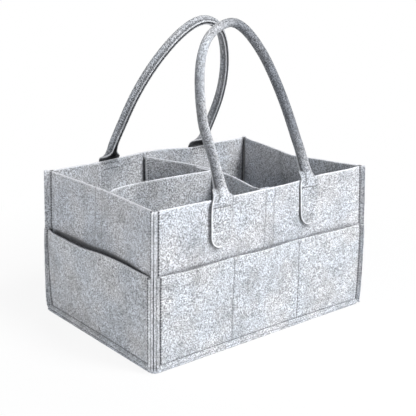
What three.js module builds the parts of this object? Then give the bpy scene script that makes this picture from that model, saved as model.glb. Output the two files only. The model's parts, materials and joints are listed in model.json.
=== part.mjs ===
// Felt diaper caddy: an open box sewn from flat felt panels, with pockets all round,
// two strap handles that swing, and two dividers that lift out.
// Millimetres, +X along the length, +Y to the rear, +Z up, origin under the middle of the base.
import * as THREE from "three";

// Body sizes
const overallLength = 330;
const overallDepth = 230;
const bodyHeight = 180;
const felt = 2.5;
const clearance = 0.3;

// Seams: the layers are sewn wrong sides together and their edges stand out
const cornerSeamReach = 3;
const bottomSeamHeight = 7;
const bottomSeamFlare = 2.6;
const bottomSeamPower = 1.6;
const baseCornerCut = 5;

// How the wall tops have gone out of straight
const leftWallBow = 5;
const rightWallBow = 15;
const bowRisePower = 1.5;
const leftBowSharpness = 2;
const rightBowSharpness = 1.25;

// Pockets
const pocketHeight = 108;
const longPocketMouth = 6;
const endPocketMouth = 11;
const longPocketBays = 3;
const mouthRisePower = 1;
const longMouthRoundness = 0.6;
const endMouthSkew = 0.6;

// Handles: a strip of felt, flat where it is sewn on and rolled round a soft core above
const strapWidth = 29;
const strapDrop = 55;
const tabEndRadius = 14;
const hingeDrop = 8;
const strapRiseBeforeBend = 10;
const strapBendRadius = 12;
const archStart = 14;
const rollStart = 9;
const rollEnd = 32;
const coreDiameter = 5;
const finCloseAngle = THREE.MathUtils.degToRad(135);
const frontHandle = {
  name: "front_handle",
  legSpacing: 133,
  legCentre: -4.5,
  rise: 191,
  lean: THREE.MathUtils.degToRad(28),
  sway: 8.5,
  swayPower: 0.3,
  spread: 0,
  tilt: 0.13,
  shoulderPower: 2.27,
  crownPower: 2.74,
};
const rearHandle = {
  name: "rear_handle",
  legSpacing: 135,
  legCentre: -0.5,
  rise: 189,
  lean: THREE.MathUtils.degToRad(25),
  sway: -23,
  swayPower: 0.83,
  spread: 0.16,
  tilt: 0.107,
  shoulderPower: 1.93,
  crownPower: 2.25,
};

// Dividers and the hook-and-loop tapes that hold them
const dividerTopDrop = 2;
const dividerFlange = 26;
const crossFrontX = -9.5;
const crossRearX = -17;
const crossSwell = 24;
const longStartY = -11;
const longEndY = -2;
const longSwell = 11;
const longSwellSkew = 0.55;
const tapeThickness = 1.1;
const tapeWidth = 20;
const tapeBottom = 14;
const tapeTopDrop = 7;

// Places worked out from the sizes above
const twoLayers = 2 * felt + clearance;
const seamStandoff = (clearance / 2 + twoLayers + cornerSeamReach) / Math.SQRT2;
const halfLength = overallLength / 2 - seamStandoff;
const halfDepth = overallDepth / 2 - seamStandoff;
const wallBottom = felt + clearance;
const pocketLayer = felt + clearance;
const dividerTop = bodyHeight - dividerTopDrop;
const tapeTop = dividerTop - tapeTopDrop;
const tapeStack = 2 * tapeThickness + 3 * clearance;
const hingeHeight = bodyHeight - hingeDrop;
const strapFace = halfDepth + clearance;
const rollRadius = coreDiameter / 2 + clearance + felt / 2;

// Facet counts
const bowSteps = 14;
const baySteps = 8;
const endPocketSteps = 14;
const seamSteps = 3;
const riseSteps = 5;
const dividerSteps = 16;
const tapeSteps = 4;
const archPoints = 60;
const loopRings = 26;
const neckRings = 9;
const rollSteps = 5;
const coreSides = 8;
const tabArcSteps = 8;

// Materials
function feltMaterial(color) {
  return new THREE.MeshStandardMaterial({ color, roughness: 0.95, metalness: 0 });
}
const bodyGrey = 0xb9bcc4;
const pocketGrey = 0xc4c7ce;
const dividerGrey = 0xa9acb5;
const tapeGrey = 0xd8d9dc;
const coreWhite = 0xeeeeea;

const caddy = new THREE.Group();

function addMesh(name, geometry, color, turn = 0) {
  const mesh = new THREE.Mesh(geometry, feltMaterial(color));
  mesh.name = name;
  mesh.rotation.z = turn;
  caddy.add(mesh);
  return mesh;
}

// A sheet lofted through strips. Each strip has an outer and an inner row of points,
// both running the same way, and the strips follow each other along the sheet.
function stripLoft(strips) {
  const rings = strips.map(({ outer, inner }) => [...outer, ...inner.slice().reverse()]);
  const ringSize = rings[0].length;
  const rowSize = ringSize / 2;
  const positions = rings.flat().flatMap((point) => [point.x, point.y, point.z]);
  const faces = [];
  for (let k = 0; k < rings.length - 1; k += 1) {
    for (let i = 0; i < ringSize; i += 1) {
      const next = (i + 1) % ringSize;
      const low = k * ringSize;
      const high = low + ringSize;
      faces.push(low + i, low + next, high + next);
      faces.push(low + i, high + next, high + i);
    }
  }
  const last = (rings.length - 1) * ringSize;
  for (let i = 0; i < rowSize - 1; i += 1) {
    const across = ringSize - 1 - i;
    faces.push(across - 1, i + 1, i);
    faces.push(across, across - 1, i);
    faces.push(last + i, last + i + 1, last + across - 1);
    faces.push(last + i, last + across - 1, last + across);
  }
  const geometry = new THREE.BufferGeometry();
  geometry.setAttribute("position", new THREE.Float32BufferAttribute(positions, 3));
  geometry.setIndex(faces);
  geometry.computeVertexNormals();
  return geometry;
}

// A side's own frame: along runs to the right as one faces that side from outside,
// and out is the distance from the middle of the caddy.
const longSide = { run: halfLength, face: halfDepth, bow: 0, sharpness: 1 };
const endSide = { run: halfDepth, face: halfLength };
const sides = {
  front: { ...longSide, turn: 0 },
  right: { ...endSide, turn: Math.PI / 2, bow: rightWallBow, sharpness: rightBowSharpness },
  rear: { ...longSide, turn: Math.PI },
  left: { ...endSide, turn: -Math.PI / 2, bow: leftWallBow, sharpness: leftBowSharpness },
};

function sidePoint(along, out, height) {
  return new THREE.Vector3(along, -out, height);
}

// How far a wall has gone inward at a place along it and a height
function wallBow(side, along, height) {
  const share = Math.min(1, Math.abs(along) / side.run);
  const spread = 1 - share ** side.sharpness;
  return -side.bow * spread * (height / bodyHeight) ** bowRisePower;
}

// How far the bottom edge of a panel flares out to its seam
function seamFlare(height) {
  const share = Math.max(0, 1 - (height - wallBottom) / bottomSeamHeight);
  return bottomSeamFlare * share ** bottomSeamPower;
}

function panelHeights(top, steps) {
  const heights = [];
  for (let k = 0; k < seamSteps; k += 1) {
    heights.push(wallBottom + (k / seamSteps) * bottomSeamHeight);
  }
  const start = wallBottom + bottomSeamHeight;
  for (let k = 0; k <= steps; k += 1) {
    heights.push(start + (k / steps) * (top - start));
  }
  return heights;
}

// One row of a panel at a height: corner seam tip, bend, face, bend, corner seam tip.
// depth is how far the row lies outside the inner face of the wall layer.
function panelRow(side, depth, height, steps, standOut) {
  const fromDiagonal = clearance / 2 + depth;
  const seamCorner = sidePoint(
    -side.run + (fromDiagonal - cornerSeamReach) / Math.SQRT2,
    side.face + (fromDiagonal + cornerSeamReach) / Math.SQRT2,
    height,
  );
  const outwards = depth - felt + seamFlare(height);
  const bend = side.run - Math.SQRT2 * fromDiagonal + outwards;
  const row = [seamCorner];
  for (let i = 0; i <= steps; i += 1) {
    const along = -bend + (i / steps) * 2 * bend;
    row.push(sidePoint(along, side.face + outwards + standOut(along, height), height));
  }
  row.push(new THREE.Vector3(-seamCorner.x, seamCorner.y, height));
  return row;
}

function sewnPanel(side, innerDepth, heights, steps, standOut) {
  return stripLoft(
    heights.map((height) => ({
      outer: panelRow(side, innerDepth + felt, height, steps, standOut),
      inner: panelRow(side, innerDepth, height, steps, standOut),
    })),
  );
}

// Base panel, out to the edge of the bottom seam
function basePanel() {
  const x = overallLength / 2;
  const y = overallDepth / 2;
  const cut = baseCornerCut;
  const outline = new THREE.Shape();
  outline.moveTo(-x + cut, -y);
  outline.lineTo(x - cut, -y);
  outline.lineTo(x, -y + cut);
  outline.lineTo(x, y - cut);
  outline.lineTo(x - cut, y);
  outline.lineTo(-x + cut, y);
  outline.lineTo(-x, y - cut);
  outline.lineTo(-x, -y + cut);
  outline.closePath();
  return new THREE.ExtrudeGeometry(outline, { depth: felt, bevelEnabled: false });
}
addMesh("base_panel", basePanel(), bodyGrey);

// Walls
for (const [name, side] of Object.entries(sides)) {
  const straight = side.bow === 0;
  const heights = panelHeights(bodyHeight, straight ? 1 : riseSteps);
  const bowAt = (along, height) => wallBow(side, along, height);
  const wall = sewnPanel(side, 0, heights, straight ? 1 : bowSteps, bowAt);
  addMesh(`${name}_wall`, wall, bodyGrey, side.turn);
}

// Pockets stand away from their wall at the mouth, between seams that hold them down
const longPocket = {
  bays: longPocketBays,
  mouth: longPocketMouth,
  roundness: longMouthRoundness,
  skew: 1,
  steps: longPocketBays * baySteps,
};
const endPocket = {
  bays: 1,
  mouth: endPocketMouth,
  roundness: 1,
  skew: endMouthSkew,
  steps: endPocketSteps,
};

function pocketStandOut(side, pocket) {
  const start = wallBottom + bottomSeamHeight;
  return (along, height) => {
    const across = Math.min(1, Math.max(0, (along + side.run) / (2 * side.run)));
    const bay = Math.min(pocket.bays - 1, Math.floor(across * pocket.bays));
    const inBay = across * pocket.bays - bay;
    const swell = Math.abs(Math.sin(Math.PI * inBay ** pocket.skew)) ** pocket.roundness;
    const rise = Math.max(0, height - start) / (pocketHeight - start);
    return pocket.mouth * swell * rise ** mouthRisePower;
  };
}

const sidePockets = { front: longPocket, right: endPocket, rear: longPocket, left: endPocket };
for (const [name, pocket] of Object.entries(sidePockets)) {
  const side = sides[name];
  const heights = panelHeights(pocketHeight, riseSteps);
  const panel = sewnPanel(side, pocketLayer, heights, pocket.steps, pocketStandOut(side, pocket));
  addMesh(`${name}_pocket`, panel, pocketGrey, side.turn);
}

// Where a strap goes over the wall top: inset from the strap's face, height and lean
// at a distance up the strap from the hinge line
function strapFold(distance, lean) {
  const bendLength = strapBendRadius * lean;
  const angle = Math.min(lean, Math.max(0, (distance - strapRiseBeforeBend) / strapBendRadius));
  const upright = Math.min(distance, strapRiseBeforeBend);
  const leaning = Math.max(0, distance - strapRiseBeforeBend - bendLength);
  return {
    inset: strapBendRadius * (1 - Math.cos(angle)) + leaning * Math.sin(lean),
    height: hingeHeight + upright + strapBendRadius * Math.sin(angle) + leaning * Math.cos(lean),
    angle,
  };
}

// The line of a handle's outer face, laid out flat: across the caddy and up the strap
function handleLine(handle) {
  const half = handle.legSpacing / 2;
  const points = [new THREE.Vector3(-half, clearance, 0), new THREE.Vector3(-half, archStart / 2, 0)];
  for (let i = 0; i <= archPoints; i += 1) {
    const angle = Math.PI * (1 - i / archPoints);
    const up = Math.sin(angle) ** (2 / handle.shoulderPower);
    const over = Math.sign(Math.cos(angle)) * Math.abs(Math.cos(angle)) ** (2 / handle.crownPower);
    const wider = 1 + 4 * handle.spread * up * (1 - up);
    const across = half * over * wider + handle.sway * up ** handle.swayPower;
    const higher = 1 + handle.tilt * over;
    points.push(new THREE.Vector3(across, archStart + handle.rise * up * higher, 0));
  }
  points.push(new THREE.Vector3(half, archStart / 2, 0));
  points.push(new THREE.Vector3(half, clearance, 0));
  return new THREE.CatmullRomCurve3(points, false, "centripetal");
}

// A place on a handle: its point and the directions across, inward and along the strip
function handleFrame(handle, line, share) {
  const flat = line.getPointAt(share);
  const heading = line.getTangentAt(share);
  const fold = strapFold(flat.y, handle.lean);
  const up = new THREE.Vector3(0, Math.sin(fold.angle), Math.cos(fold.angle));
  const inward = new THREE.Vector3(0, Math.cos(fold.angle), -Math.sin(fold.angle));
  const along = new THREE.Vector3(heading.x, 0, 0).addScaledVector(up, heading.y).normalize();
  const across = new THREE.Vector3().crossVectors(inward, along);
  const middle = strapFace + felt / 2;
  const point = sidePoint(handle.legCentre + flat.x, middle - fold.inset, fold.height);
  return { point, across, inward };
}

// Half of the rolled section, as lengths and headings of the felt's middle line
function rolledHalf() {
  const pieces = [];
  for (let i = 0; i < rollSteps; i += 1) {
    const heading = ((i + 1 / 2) / rollSteps) * finCloseAngle;
    pieces.push({ length: (rollRadius * finCloseAngle) / rollSteps, heading });
  }
  const fromMiddle = rollRadius * Math.sin(finCloseAngle) - (felt + clearance) / 2;
  const closing = fromMiddle / Math.abs(Math.cos(finCloseAngle));
  pieces.push({ length: closing, heading: finCloseAngle });
  const used = rollRadius * finCloseAngle + closing;
  pieces.push({ length: strapWidth / 2 - used, heading: Math.PI / 2 });
  return pieces;
}
const halfSection = rolledHalf();

// The strip's section when rolled by a share from 0, flat, to 1, closed
function rolledSection(rollShare) {
  const right = [new THREE.Vector2()];
  const headings = halfSection.map((piece) => piece.heading * rollShare);
  halfSection.forEach((piece, i) => {
    const step = new THREE.Vector2(Math.cos(headings[i]), Math.sin(headings[i]));
    right.push(right[i].clone().addScaledVector(step, piece.length));
  });
  const offsets = right.map((_, i) => {
    const before = i === 0 ? -headings[0] : headings[i - 1];
    const after = headings[Math.min(i, headings.length - 1)];
    const mean = (before + after) / 2;
    const size = felt / 2 / Math.cos((after - before) / 2);
    return new THREE.Vector2(-Math.sin(mean), Math.cos(mean)).multiplyScalar(size);
  });
  const side = (sign) => right.map((point, i) => point.clone().addScaledVector(offsets[i], sign));
  const whole = (half) => {
    const mirrored = half.slice(1).reverse().map((point) => new THREE.Vector2(-point.x, point.y));
    return [...mirrored, ...half];
  };
  return { outer: whole(side(-1)), inner: whole(side(1)) };
}

function handleStations(length) {
  const distances = [];
  for (let i = 0; i < neckRings; i += 1) {
    distances.push((i / neckRings) * rollEnd);
  }
  for (let i = 0; i <= loopRings; i += 1) {
    distances.push(rollEnd + (i / loopRings) * (length - 2 * rollEnd));
  }
  for (let i = neckRings - 1; i >= 0; i -= 1) {
    distances.push(length - (i / neckRings) * rollEnd);
  }
  return distances;
}

function handleSleeve(handle, line) {
  const length = line.getLength();
  const strips = handleStations(length).map((distance) => {
    const { point, across, inward } = handleFrame(handle, line, distance / length);
    const fromEnd = Math.min(distance, length - distance);
    const section = rolledSection(THREE.MathUtils.smoothstep(fromEnd, rollStart, rollEnd));
    const place = (flat) =>
      point.clone().addScaledVector(across, flat.x).addScaledVector(inward, flat.y);
    return { outer: section.outer.map(place), inner: section.inner.map(place) };
  });
  return stripLoft(strips);
}

function handleCore(handle, line) {
  const length = line.getLength();
  const points = [];
  for (let i = 0; i <= loopRings; i += 1) {
    const distance = rollEnd + (i / loopRings) * (length - 2 * rollEnd);
    const { point, inward } = handleFrame(handle, line, distance / length);
    points.push(point.addScaledVector(inward, rollRadius));
  }
  const section = new THREE.Shape();
  section.absarc(0, 0, coreDiameter / 2, 0, 2 * Math.PI);
  const path = new THREE.CatmullRomCurve3(points);
  return new THREE.ExtrudeGeometry(section, {
    steps: loopRings,
    curveSegments: coreSides,
    bevelEnabled: false,
    extrudePath: path,
  });
}

// The sewn end of a strap, below its hinge line
function strapTab(centre) {
  const half = strapWidth / 2;
  const bottom = bodyHeight - strapDrop;
  const top = hingeHeight - clearance;
  const radius = Math.min(tabEndRadius, half);
  const outline = new THREE.Shape();
  outline.moveTo(centre + half, top);
  outline.lineTo(centre - half, top);
  outline.lineTo(centre - half, bottom + radius);
  outline.absarc(centre - half + radius, bottom + radius, radius, Math.PI, 1.5 * Math.PI);
  outline.lineTo(centre + half - radius, bottom);
  outline.absarc(centre + half - radius, bottom + radius, radius, 1.5 * Math.PI, 2 * Math.PI);
  outline.closePath();
  const plate = new THREE.ExtrudeGeometry(outline, {
    depth: felt,
    bevelEnabled: false,
    curveSegments: tabArcSteps,
  });
  plate.rotateX(Math.PI / 2);
  plate.translate(0, -strapFace, 0);
  return plate;
}

function addHandle(handle, side) {
  const line = handleLine(handle);
  const half = handle.legSpacing / 2;
  addMesh(`${handle.name}_strap`, handleSleeve(handle, line), pocketGrey, side.turn);
  addMesh(`${handle.name}_core`, handleCore(handle, line), coreWhite, side.turn);
  addMesh(`${handle.name}_left_tab`, strapTab(handle.legCentre - half), pocketGrey, side.turn);
  addMesh(`${handle.name}_right_tab`, strapTab(handle.legCentre + half), pocketGrey, side.turn);
}
addHandle(frontHandle, sides.front);
addHandle(rearHandle, sides.rear);

// An upright ribbon of felt or tape along a plan line, between two heights
function uprightRibbon(line, thickness, bottom, top) {
  const headings = line.slice(1).map((point, i) => point.clone().sub(line[i]).normalize());
  const normals = line.map((_, i) => {
    const arriving = headings[Math.max(0, i - 1)];
    const leaving = headings[Math.min(headings.length - 1, i)];
    const mean = arriving.clone().add(leaving).normalize();
    const stretch = thickness / 2 / mean.dot(leaving);
    return new THREE.Vector2(-mean.y, mean.x).multiplyScalar(stretch);
  });
  const row = (sign, height) =>
    line.map((point, i) => {
      const moved = point.clone().addScaledVector(normals[i], sign);
      return new THREE.Vector3(moved.x, moved.y, height);
    });
  const strips = [bottom, top].map((height) => ({ outer: row(-1, height), inner: row(1, height) }));
  return stripLoft(strips);
}

// Plan line of the cross divider, at a share from the rear end to the front end,
// moved towards the left end of the caddy by a set amount
const flangeY = halfDepth - felt - tapeStack - felt / 2;
function crossPoint(share, moved = 0) {
  const point = (at) =>
    new THREE.Vector2(
      THREE.MathUtils.lerp(crossRearX, crossFrontX, at) + crossSwell * Math.sin(Math.PI * at),
      THREE.MathUtils.lerp(flangeY, -flangeY, at),
    );
  const probe = 1 / dividerSteps;
  const heading = point(share + probe / 2).sub(point(share - probe / 2)).normalize();
  return point(share).addScaledVector(new THREE.Vector2(heading.y, -heading.x), moved);
}

function crossShareAt(y) {
  return (flangeY - y) / (2 * flangeY);
}

function crossDividerLine() {
  const line = [new THREE.Vector2(crossRearX + dividerFlange, flangeY)];
  for (let i = 0; i <= dividerSteps; i += 1) {
    line.push(crossPoint(i / dividerSteps));
  }
  line.push(new THREE.Vector2(crossFrontX + dividerFlange, -flangeY));
  return line;
}

// Plan line of the long divider: along the left wall, across, then along the cross divider
const longFlangeX = -(halfLength - felt - leftWallBow - tapeStack - felt / 2);
const besideCross = felt + tapeStack;
function besideCrossLine(fromY, toY, moved) {
  const line = [];
  for (let i = 0; i <= tapeSteps; i += 1) {
    const y = THREE.MathUtils.lerp(fromY, toY, i / tapeSteps);
    line.push(crossPoint(crossShareAt(y), moved));
  }
  return line;
}

function longDividerLine() {
  const end = crossPoint(crossShareAt(longEndY), besideCross);
  const line = [new THREE.Vector2(longFlangeX, longStartY + dividerFlange)];
  for (let i = 0; i < dividerSteps; i += 1) {
    const share = i / dividerSteps;
    const straight = THREE.MathUtils.lerp(longStartY, end.y, share);
    const swell = longSwell * Math.sin(Math.PI * share ** longSwellSkew);
    line.push(new THREE.Vector2(THREE.MathUtils.lerp(longFlangeX, end.x, share), straight + swell));
  }
  return [...line, ...besideCrossLine(longEndY, longEndY + dividerFlange, besideCross)];
}

addMesh("cross_divider", uprightRibbon(crossDividerLine(), felt, wallBottom, dividerTop), dividerGrey);
addMesh("long_divider", uprightRibbon(longDividerLine(), felt, wallBottom, dividerTop), dividerGrey);

// Tapes on the walls, one layer in from the felt and bowed with it
function wallTape(side, centre) {
  const heights = [];
  for (let k = 0; k <= riseSteps; k += 1) {
    heights.push(THREE.MathUtils.lerp(tapeBottom, tapeTop, k / riseSteps));
  }
  const row = (depth, height) => {
    const line = [];
    for (let i = 0; i <= tapeSteps; i += 1) {
      const along = centre + tapeWidth * (i / tapeSteps - 1 / 2);
      line.push(sidePoint(along, side.face - depth + wallBow(side, along, height), height));
    }
    return line;
  };
  const near = felt + clearance;
  return stripLoft(
    heights.map((height) => ({ outer: row(near, height), inner: row(near + tapeThickness, height) })),
  );
}

// Tapes on the divider flanges, facing the tapes on the walls
function flatTape(from, to) {
  return uprightRibbon([from, to], tapeThickness, tapeBottom, tapeTop);
}
const tapeMargin = (dividerFlange - tapeWidth) / 2;
const tapeOffFlange = felt / 2 + clearance + tapeThickness / 2;
const frontTapeX = crossFrontX + dividerFlange / 2;
const rearTapeX = crossRearX + dividerFlange / 2;
const leftTapeY = longStartY + dividerFlange / 2;
addMesh("front_wall_loop_tape", wallTape(sides.front, frontTapeX), tapeGrey, sides.front.turn);
addMesh("rear_wall_loop_tape", wallTape(sides.rear, -rearTapeX), tapeGrey, sides.rear.turn);
addMesh("left_wall_loop_tape", wallTape(sides.left, -leftTapeY), tapeGrey, sides.left.turn);

function flangeTapeEnds(x, y) {
  return [new THREE.Vector2(x - tapeWidth / 2, y), new THREE.Vector2(x + tapeWidth / 2, y)];
}
const tapeY = flangeY + tapeOffFlange;
addMesh("cross_divider_front_hook_tape", flatTape(...flangeTapeEnds(frontTapeX, -tapeY)), tapeGrey);
addMesh("cross_divider_rear_hook_tape", flatTape(...flangeTapeEnds(rearTapeX, tapeY)), tapeGrey);

const leftTapeX = longFlangeX - tapeOffFlange;
const leftTapeLow = new THREE.Vector2(leftTapeX, leftTapeY - tapeWidth / 2);
const leftTapeHigh = new THREE.Vector2(leftTapeX, leftTapeY + tapeWidth / 2);
addMesh("long_divider_left_hook_tape", flatTape(leftTapeLow, leftTapeHigh), tapeGrey);

const besideStart = longEndY + tapeMargin;
const besideEnd = besideStart + tapeWidth;
const loopMoved = felt / 2 + clearance + tapeThickness / 2;
const hookMoved = loopMoved + tapeThickness + clearance;
function besideTape(moved) {
  return uprightRibbon(besideCrossLine(besideStart, besideEnd, moved), tapeThickness, tapeBottom, tapeTop);
}
addMesh("cross_divider_loop_tape", besideTape(loopMoved), tapeGrey);
addMesh("long_divider_right_hook_tape", besideTape(hookMoved), tapeGrey);

export default caddy;
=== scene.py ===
import json
import math

import bmesh
import bpy
import numpy as np
from mathutils import Matrix, Vector, noise

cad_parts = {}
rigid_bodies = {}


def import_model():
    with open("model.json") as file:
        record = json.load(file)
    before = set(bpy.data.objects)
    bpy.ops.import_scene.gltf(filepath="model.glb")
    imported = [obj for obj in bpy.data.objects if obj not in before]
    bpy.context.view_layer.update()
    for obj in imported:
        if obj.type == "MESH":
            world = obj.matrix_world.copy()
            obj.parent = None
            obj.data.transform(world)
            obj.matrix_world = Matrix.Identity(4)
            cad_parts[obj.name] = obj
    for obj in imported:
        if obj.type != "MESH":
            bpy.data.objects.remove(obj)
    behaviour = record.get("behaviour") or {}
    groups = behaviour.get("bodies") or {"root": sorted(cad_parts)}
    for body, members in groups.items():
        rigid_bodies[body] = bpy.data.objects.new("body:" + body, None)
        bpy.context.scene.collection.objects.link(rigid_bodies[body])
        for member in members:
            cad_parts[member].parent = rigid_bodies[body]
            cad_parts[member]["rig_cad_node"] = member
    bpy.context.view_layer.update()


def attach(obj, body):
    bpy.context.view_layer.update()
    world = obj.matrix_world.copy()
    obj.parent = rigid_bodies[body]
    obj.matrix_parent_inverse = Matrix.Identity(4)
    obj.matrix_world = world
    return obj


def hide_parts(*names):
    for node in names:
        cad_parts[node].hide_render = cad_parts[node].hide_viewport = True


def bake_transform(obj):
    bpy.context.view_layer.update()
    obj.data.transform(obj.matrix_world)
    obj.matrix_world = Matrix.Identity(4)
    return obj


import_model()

# Sizes in millimetres, as in the part's source
MM = 0.001
ROOT2 = math.sqrt(2)
OVERALL_LENGTH = 330.0
OVERALL_DEPTH = 230.0
BODY_HEIGHT = 180.0
FELT = 2.5
CLEARANCE = 0.3
SEAM_REACH = 3.0
BOTTOM_SEAM_HEIGHT = 7.0
BOTTOM_SEAM_FLARE = 2.6
BOTTOM_SEAM_POWER = 1.6
BASE_CORNER_CUT = 8.0
SEAM_STANDOFF = (CLEARANCE / 2 + 2 * FELT + CLEARANCE + SEAM_REACH) / ROOT2
HALF_LENGTH = OVERALL_LENGTH / 2 - SEAM_STANDOFF
HALF_DEPTH = OVERALL_DEPTH / 2 - SEAM_STANDOFF
WALL_BOTTOM = FELT + CLEARANCE
POCKET_HEIGHT = 108.0
PANEL_BEND = 1.8

# The sides: along runs to the right as one faces a side from outside
SIDES = {
    "front": {"run": HALF_LENGTH, "face": HALF_DEPTH, "turn": 0.0},
    "right": {"run": HALF_DEPTH, "face": HALF_LENGTH, "turn": math.pi / 2},
    "rear": {"run": HALF_LENGTH, "face": HALF_DEPTH, "turn": math.pi},
    "left": {"run": HALF_DEPTH, "face": HALF_LENGTH, "turn": -math.pi / 2},
}


def smooth(value, low, high):
    """From 0 at low to 1 at high, eased at both ends."""
    share = np.clip((np.asarray(value, float) - low) / (high - low), 0, 1)
    return share * share * (3 - 2 * share)


def bell(value, middle, width):
    """1 at the middle, falling off to both sides over the width."""
    return np.exp(-(((np.asarray(value, float) - middle) / width) ** 2))


def hump(value, middle, size_and_width):
    """A bell of some size, or a dent where the size is negative."""
    size, width = size_and_width
    return size * bell(value, middle, width)


def plateau(value, rise, fall):
    """From 0 to 1 over the rise, and back to 0 over the fall."""
    return smooth(value, *rise) * (1 - smooth(value, *fall))


def turned(points, angle):
    """Points turned about the upright axis."""
    points = np.asarray(points, float)
    c, s = math.cos(angle), math.sin(angle)
    x, y = points[..., 0], points[..., 1]
    return np.stack([c * x - s * y, s * x + c * y, points[..., 2]], -1)


def ripple(across, up, seed, size):
    """Slow unevenness of felt, from -1 to 1, over places of that size."""
    across, up = np.broadcast_arrays(across, up)
    flat = [
        noise.noise(Vector((a / size, u / size, seed)))
        for a, u in zip(across.ravel(), up.ravel())
    ]
    return np.array(flat).reshape(across.shape)


def curve(start, corner, end, t):
    """A place on the curve that rounds a corner off, at t from 0 to 1."""
    return (1 - t) ** 2 * start + 2 * t * (1 - t) * corner + t * t * end


def travel(points):
    """How far each point of a line is from its first, along the line."""
    return np.concatenate([[0], np.cumsum(np.linalg.norm(np.diff(points, axis=0), axis=1))])


def value_at(at, travelled, values):
    """What the values of a line's points come to at a distance along the line."""
    return np.array([np.interp(at, travelled, values[:, axis]) for axis in range(3)])


def edged(low, high, steps, margin, count):
    """Places from low to high, closer together at both ends."""
    steps = np.array(steps)
    between = np.linspace(low + margin, high - margin, count)
    return np.concatenate([low + steps, between, high - steps[::-1]])


# ---------------------------------------------------------------- materials


def set_inputs(node, **values):
    """Sets a node's inputs, with underscores for the spaces in their names."""
    for key, value in values.items():
        node.inputs[key.replace("_", " ")].default_value = value


class Nodes:
    """Short hands for building the nodes of a material or of the world."""

    def __init__(self, data):
        data.use_nodes = True
        self.data = data
        self.tree = data.node_tree

    def add(self, kind, **values):
        node = self.tree.nodes.new(kind)
        for key, value in values.items():
            setattr(node, key, value)
        return node

    def link(self, source, target):
        self.tree.links.new(source, target)

    def math(self, operation, first, second):
        node = self.add("ShaderNodeMath", operation=operation)
        for socket, value in zip(node.inputs, (first, second)):
            if isinstance(value, (int, float)):
                socket.default_value = value
            else:
                self.link(value, socket)
        return node.outputs["Value"]

    def ramp(self, factor, stops):
        node = self.add("ShaderNodeValToRGB")
        self.link(factor, node.inputs["Fac"])
        ends = node.color_ramp.elements
        while len(ends) < len(stops):
            ends.new(0.5)
        for element, (position, shade) in zip(ends, stops):
            element.position = position
            element.color = (*shade, 1) if hasattr(shade, "__len__") else (shade, shade, shade, 1)
        return node.outputs["Color"]

    def mix(self, factor, first, second, blend="MIX"):
        node = self.add("ShaderNodeMix", data_type="RGBA", blend_type=blend)
        wanted = [s for s in node.inputs if s.enabled]
        for socket, value in zip(wanted, (factor, first, second)):
            if isinstance(value, (int, float)):
                socket.default_value = value
            elif isinstance(value, tuple):
                socket.default_value = (*value, 1)
            else:
                self.link(value, socket)
        return next(s for s in node.outputs if s.enabled)

    def mix_shaders(self, factor, first, second, output):
        """Mixes two shaders into the named output node."""
        mixer = self.add("ShaderNodeMixShader")
        for source, socket in zip((factor, first.outputs[0], second.outputs[0]), mixer.inputs):
            self.link(source, socket)
        self.link(mixer.outputs[0], self.tree.nodes[output].inputs["Surface"])

    def seen_by_camera(self):
        """1 for camera, glossy and transmission rays, 0 for the others."""
        path = self.add("ShaderNodeLightPath")
        seen = path.outputs["Is Camera Ray"]
        for output in ("Is Glossy Ray", "Is Transmission Ray"):
            seen = self.math("MAXIMUM", seen, path.outputs[output])
        return seen


class MaterialNodes(Nodes):
    """The nodes of a new material, with places taken on the object."""

    def __init__(self, name):
        super().__init__(bpy.data.materials.new(name))
        self.surface = self.tree.nodes["Principled BSDF"]
        self.place = self.add("ShaderNodeTexCoord").outputs["Object"]

    def noise(self, scale, detail=2.0, roughness=0.5, distortion=0.0, place=None):
        node = self.add("ShaderNodeTexNoise")
        self.link(place or self.place, node.inputs["Vector"])
        set_inputs(node, Scale=scale, Detail=detail, Roughness=roughness, Distortion=distortion)
        return node.outputs["Fac"]

    def stretched(self, angles, scales):
        node = self.add("ShaderNodeMapping")
        self.link(self.place, node.inputs["Vector"])
        set_inputs(node, Rotation=[math.radians(a) for a in angles], Scale=scales)
        return node.outputs["Vector"]

    def finish(self, colour, height, strength, distance, **values):
        """Gives the surface its colour, its relief and its other values."""
        node = self.add("ShaderNodeBump")
        set_inputs(node, Strength=strength, Distance=distance)
        self.link(height, node.inputs["Height"])
        self.link(colour, self.surface.inputs["Base Color"])
        self.link(node.outputs["Normal"], self.surface.inputs["Normal"])
        set_inputs(self.surface, **values)
        return self.data


# The felt's strands: scale of the noise, turn in degrees, stretch
STRANDS = (
    (250, (20, 35, 50), (1, 3.0, 1.4)),
    (270, (70, -25, -40), (1.3, 1, 3.2)),
    (240, (-35, 60, 15), (2.8, 1.1, 1)),
)
# What the dark mark multiplies the felt's colour by: darker felt and painted shade
DARK_AND_SHADE_COLOUR = (0.34, 0.35, 0.37)


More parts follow.
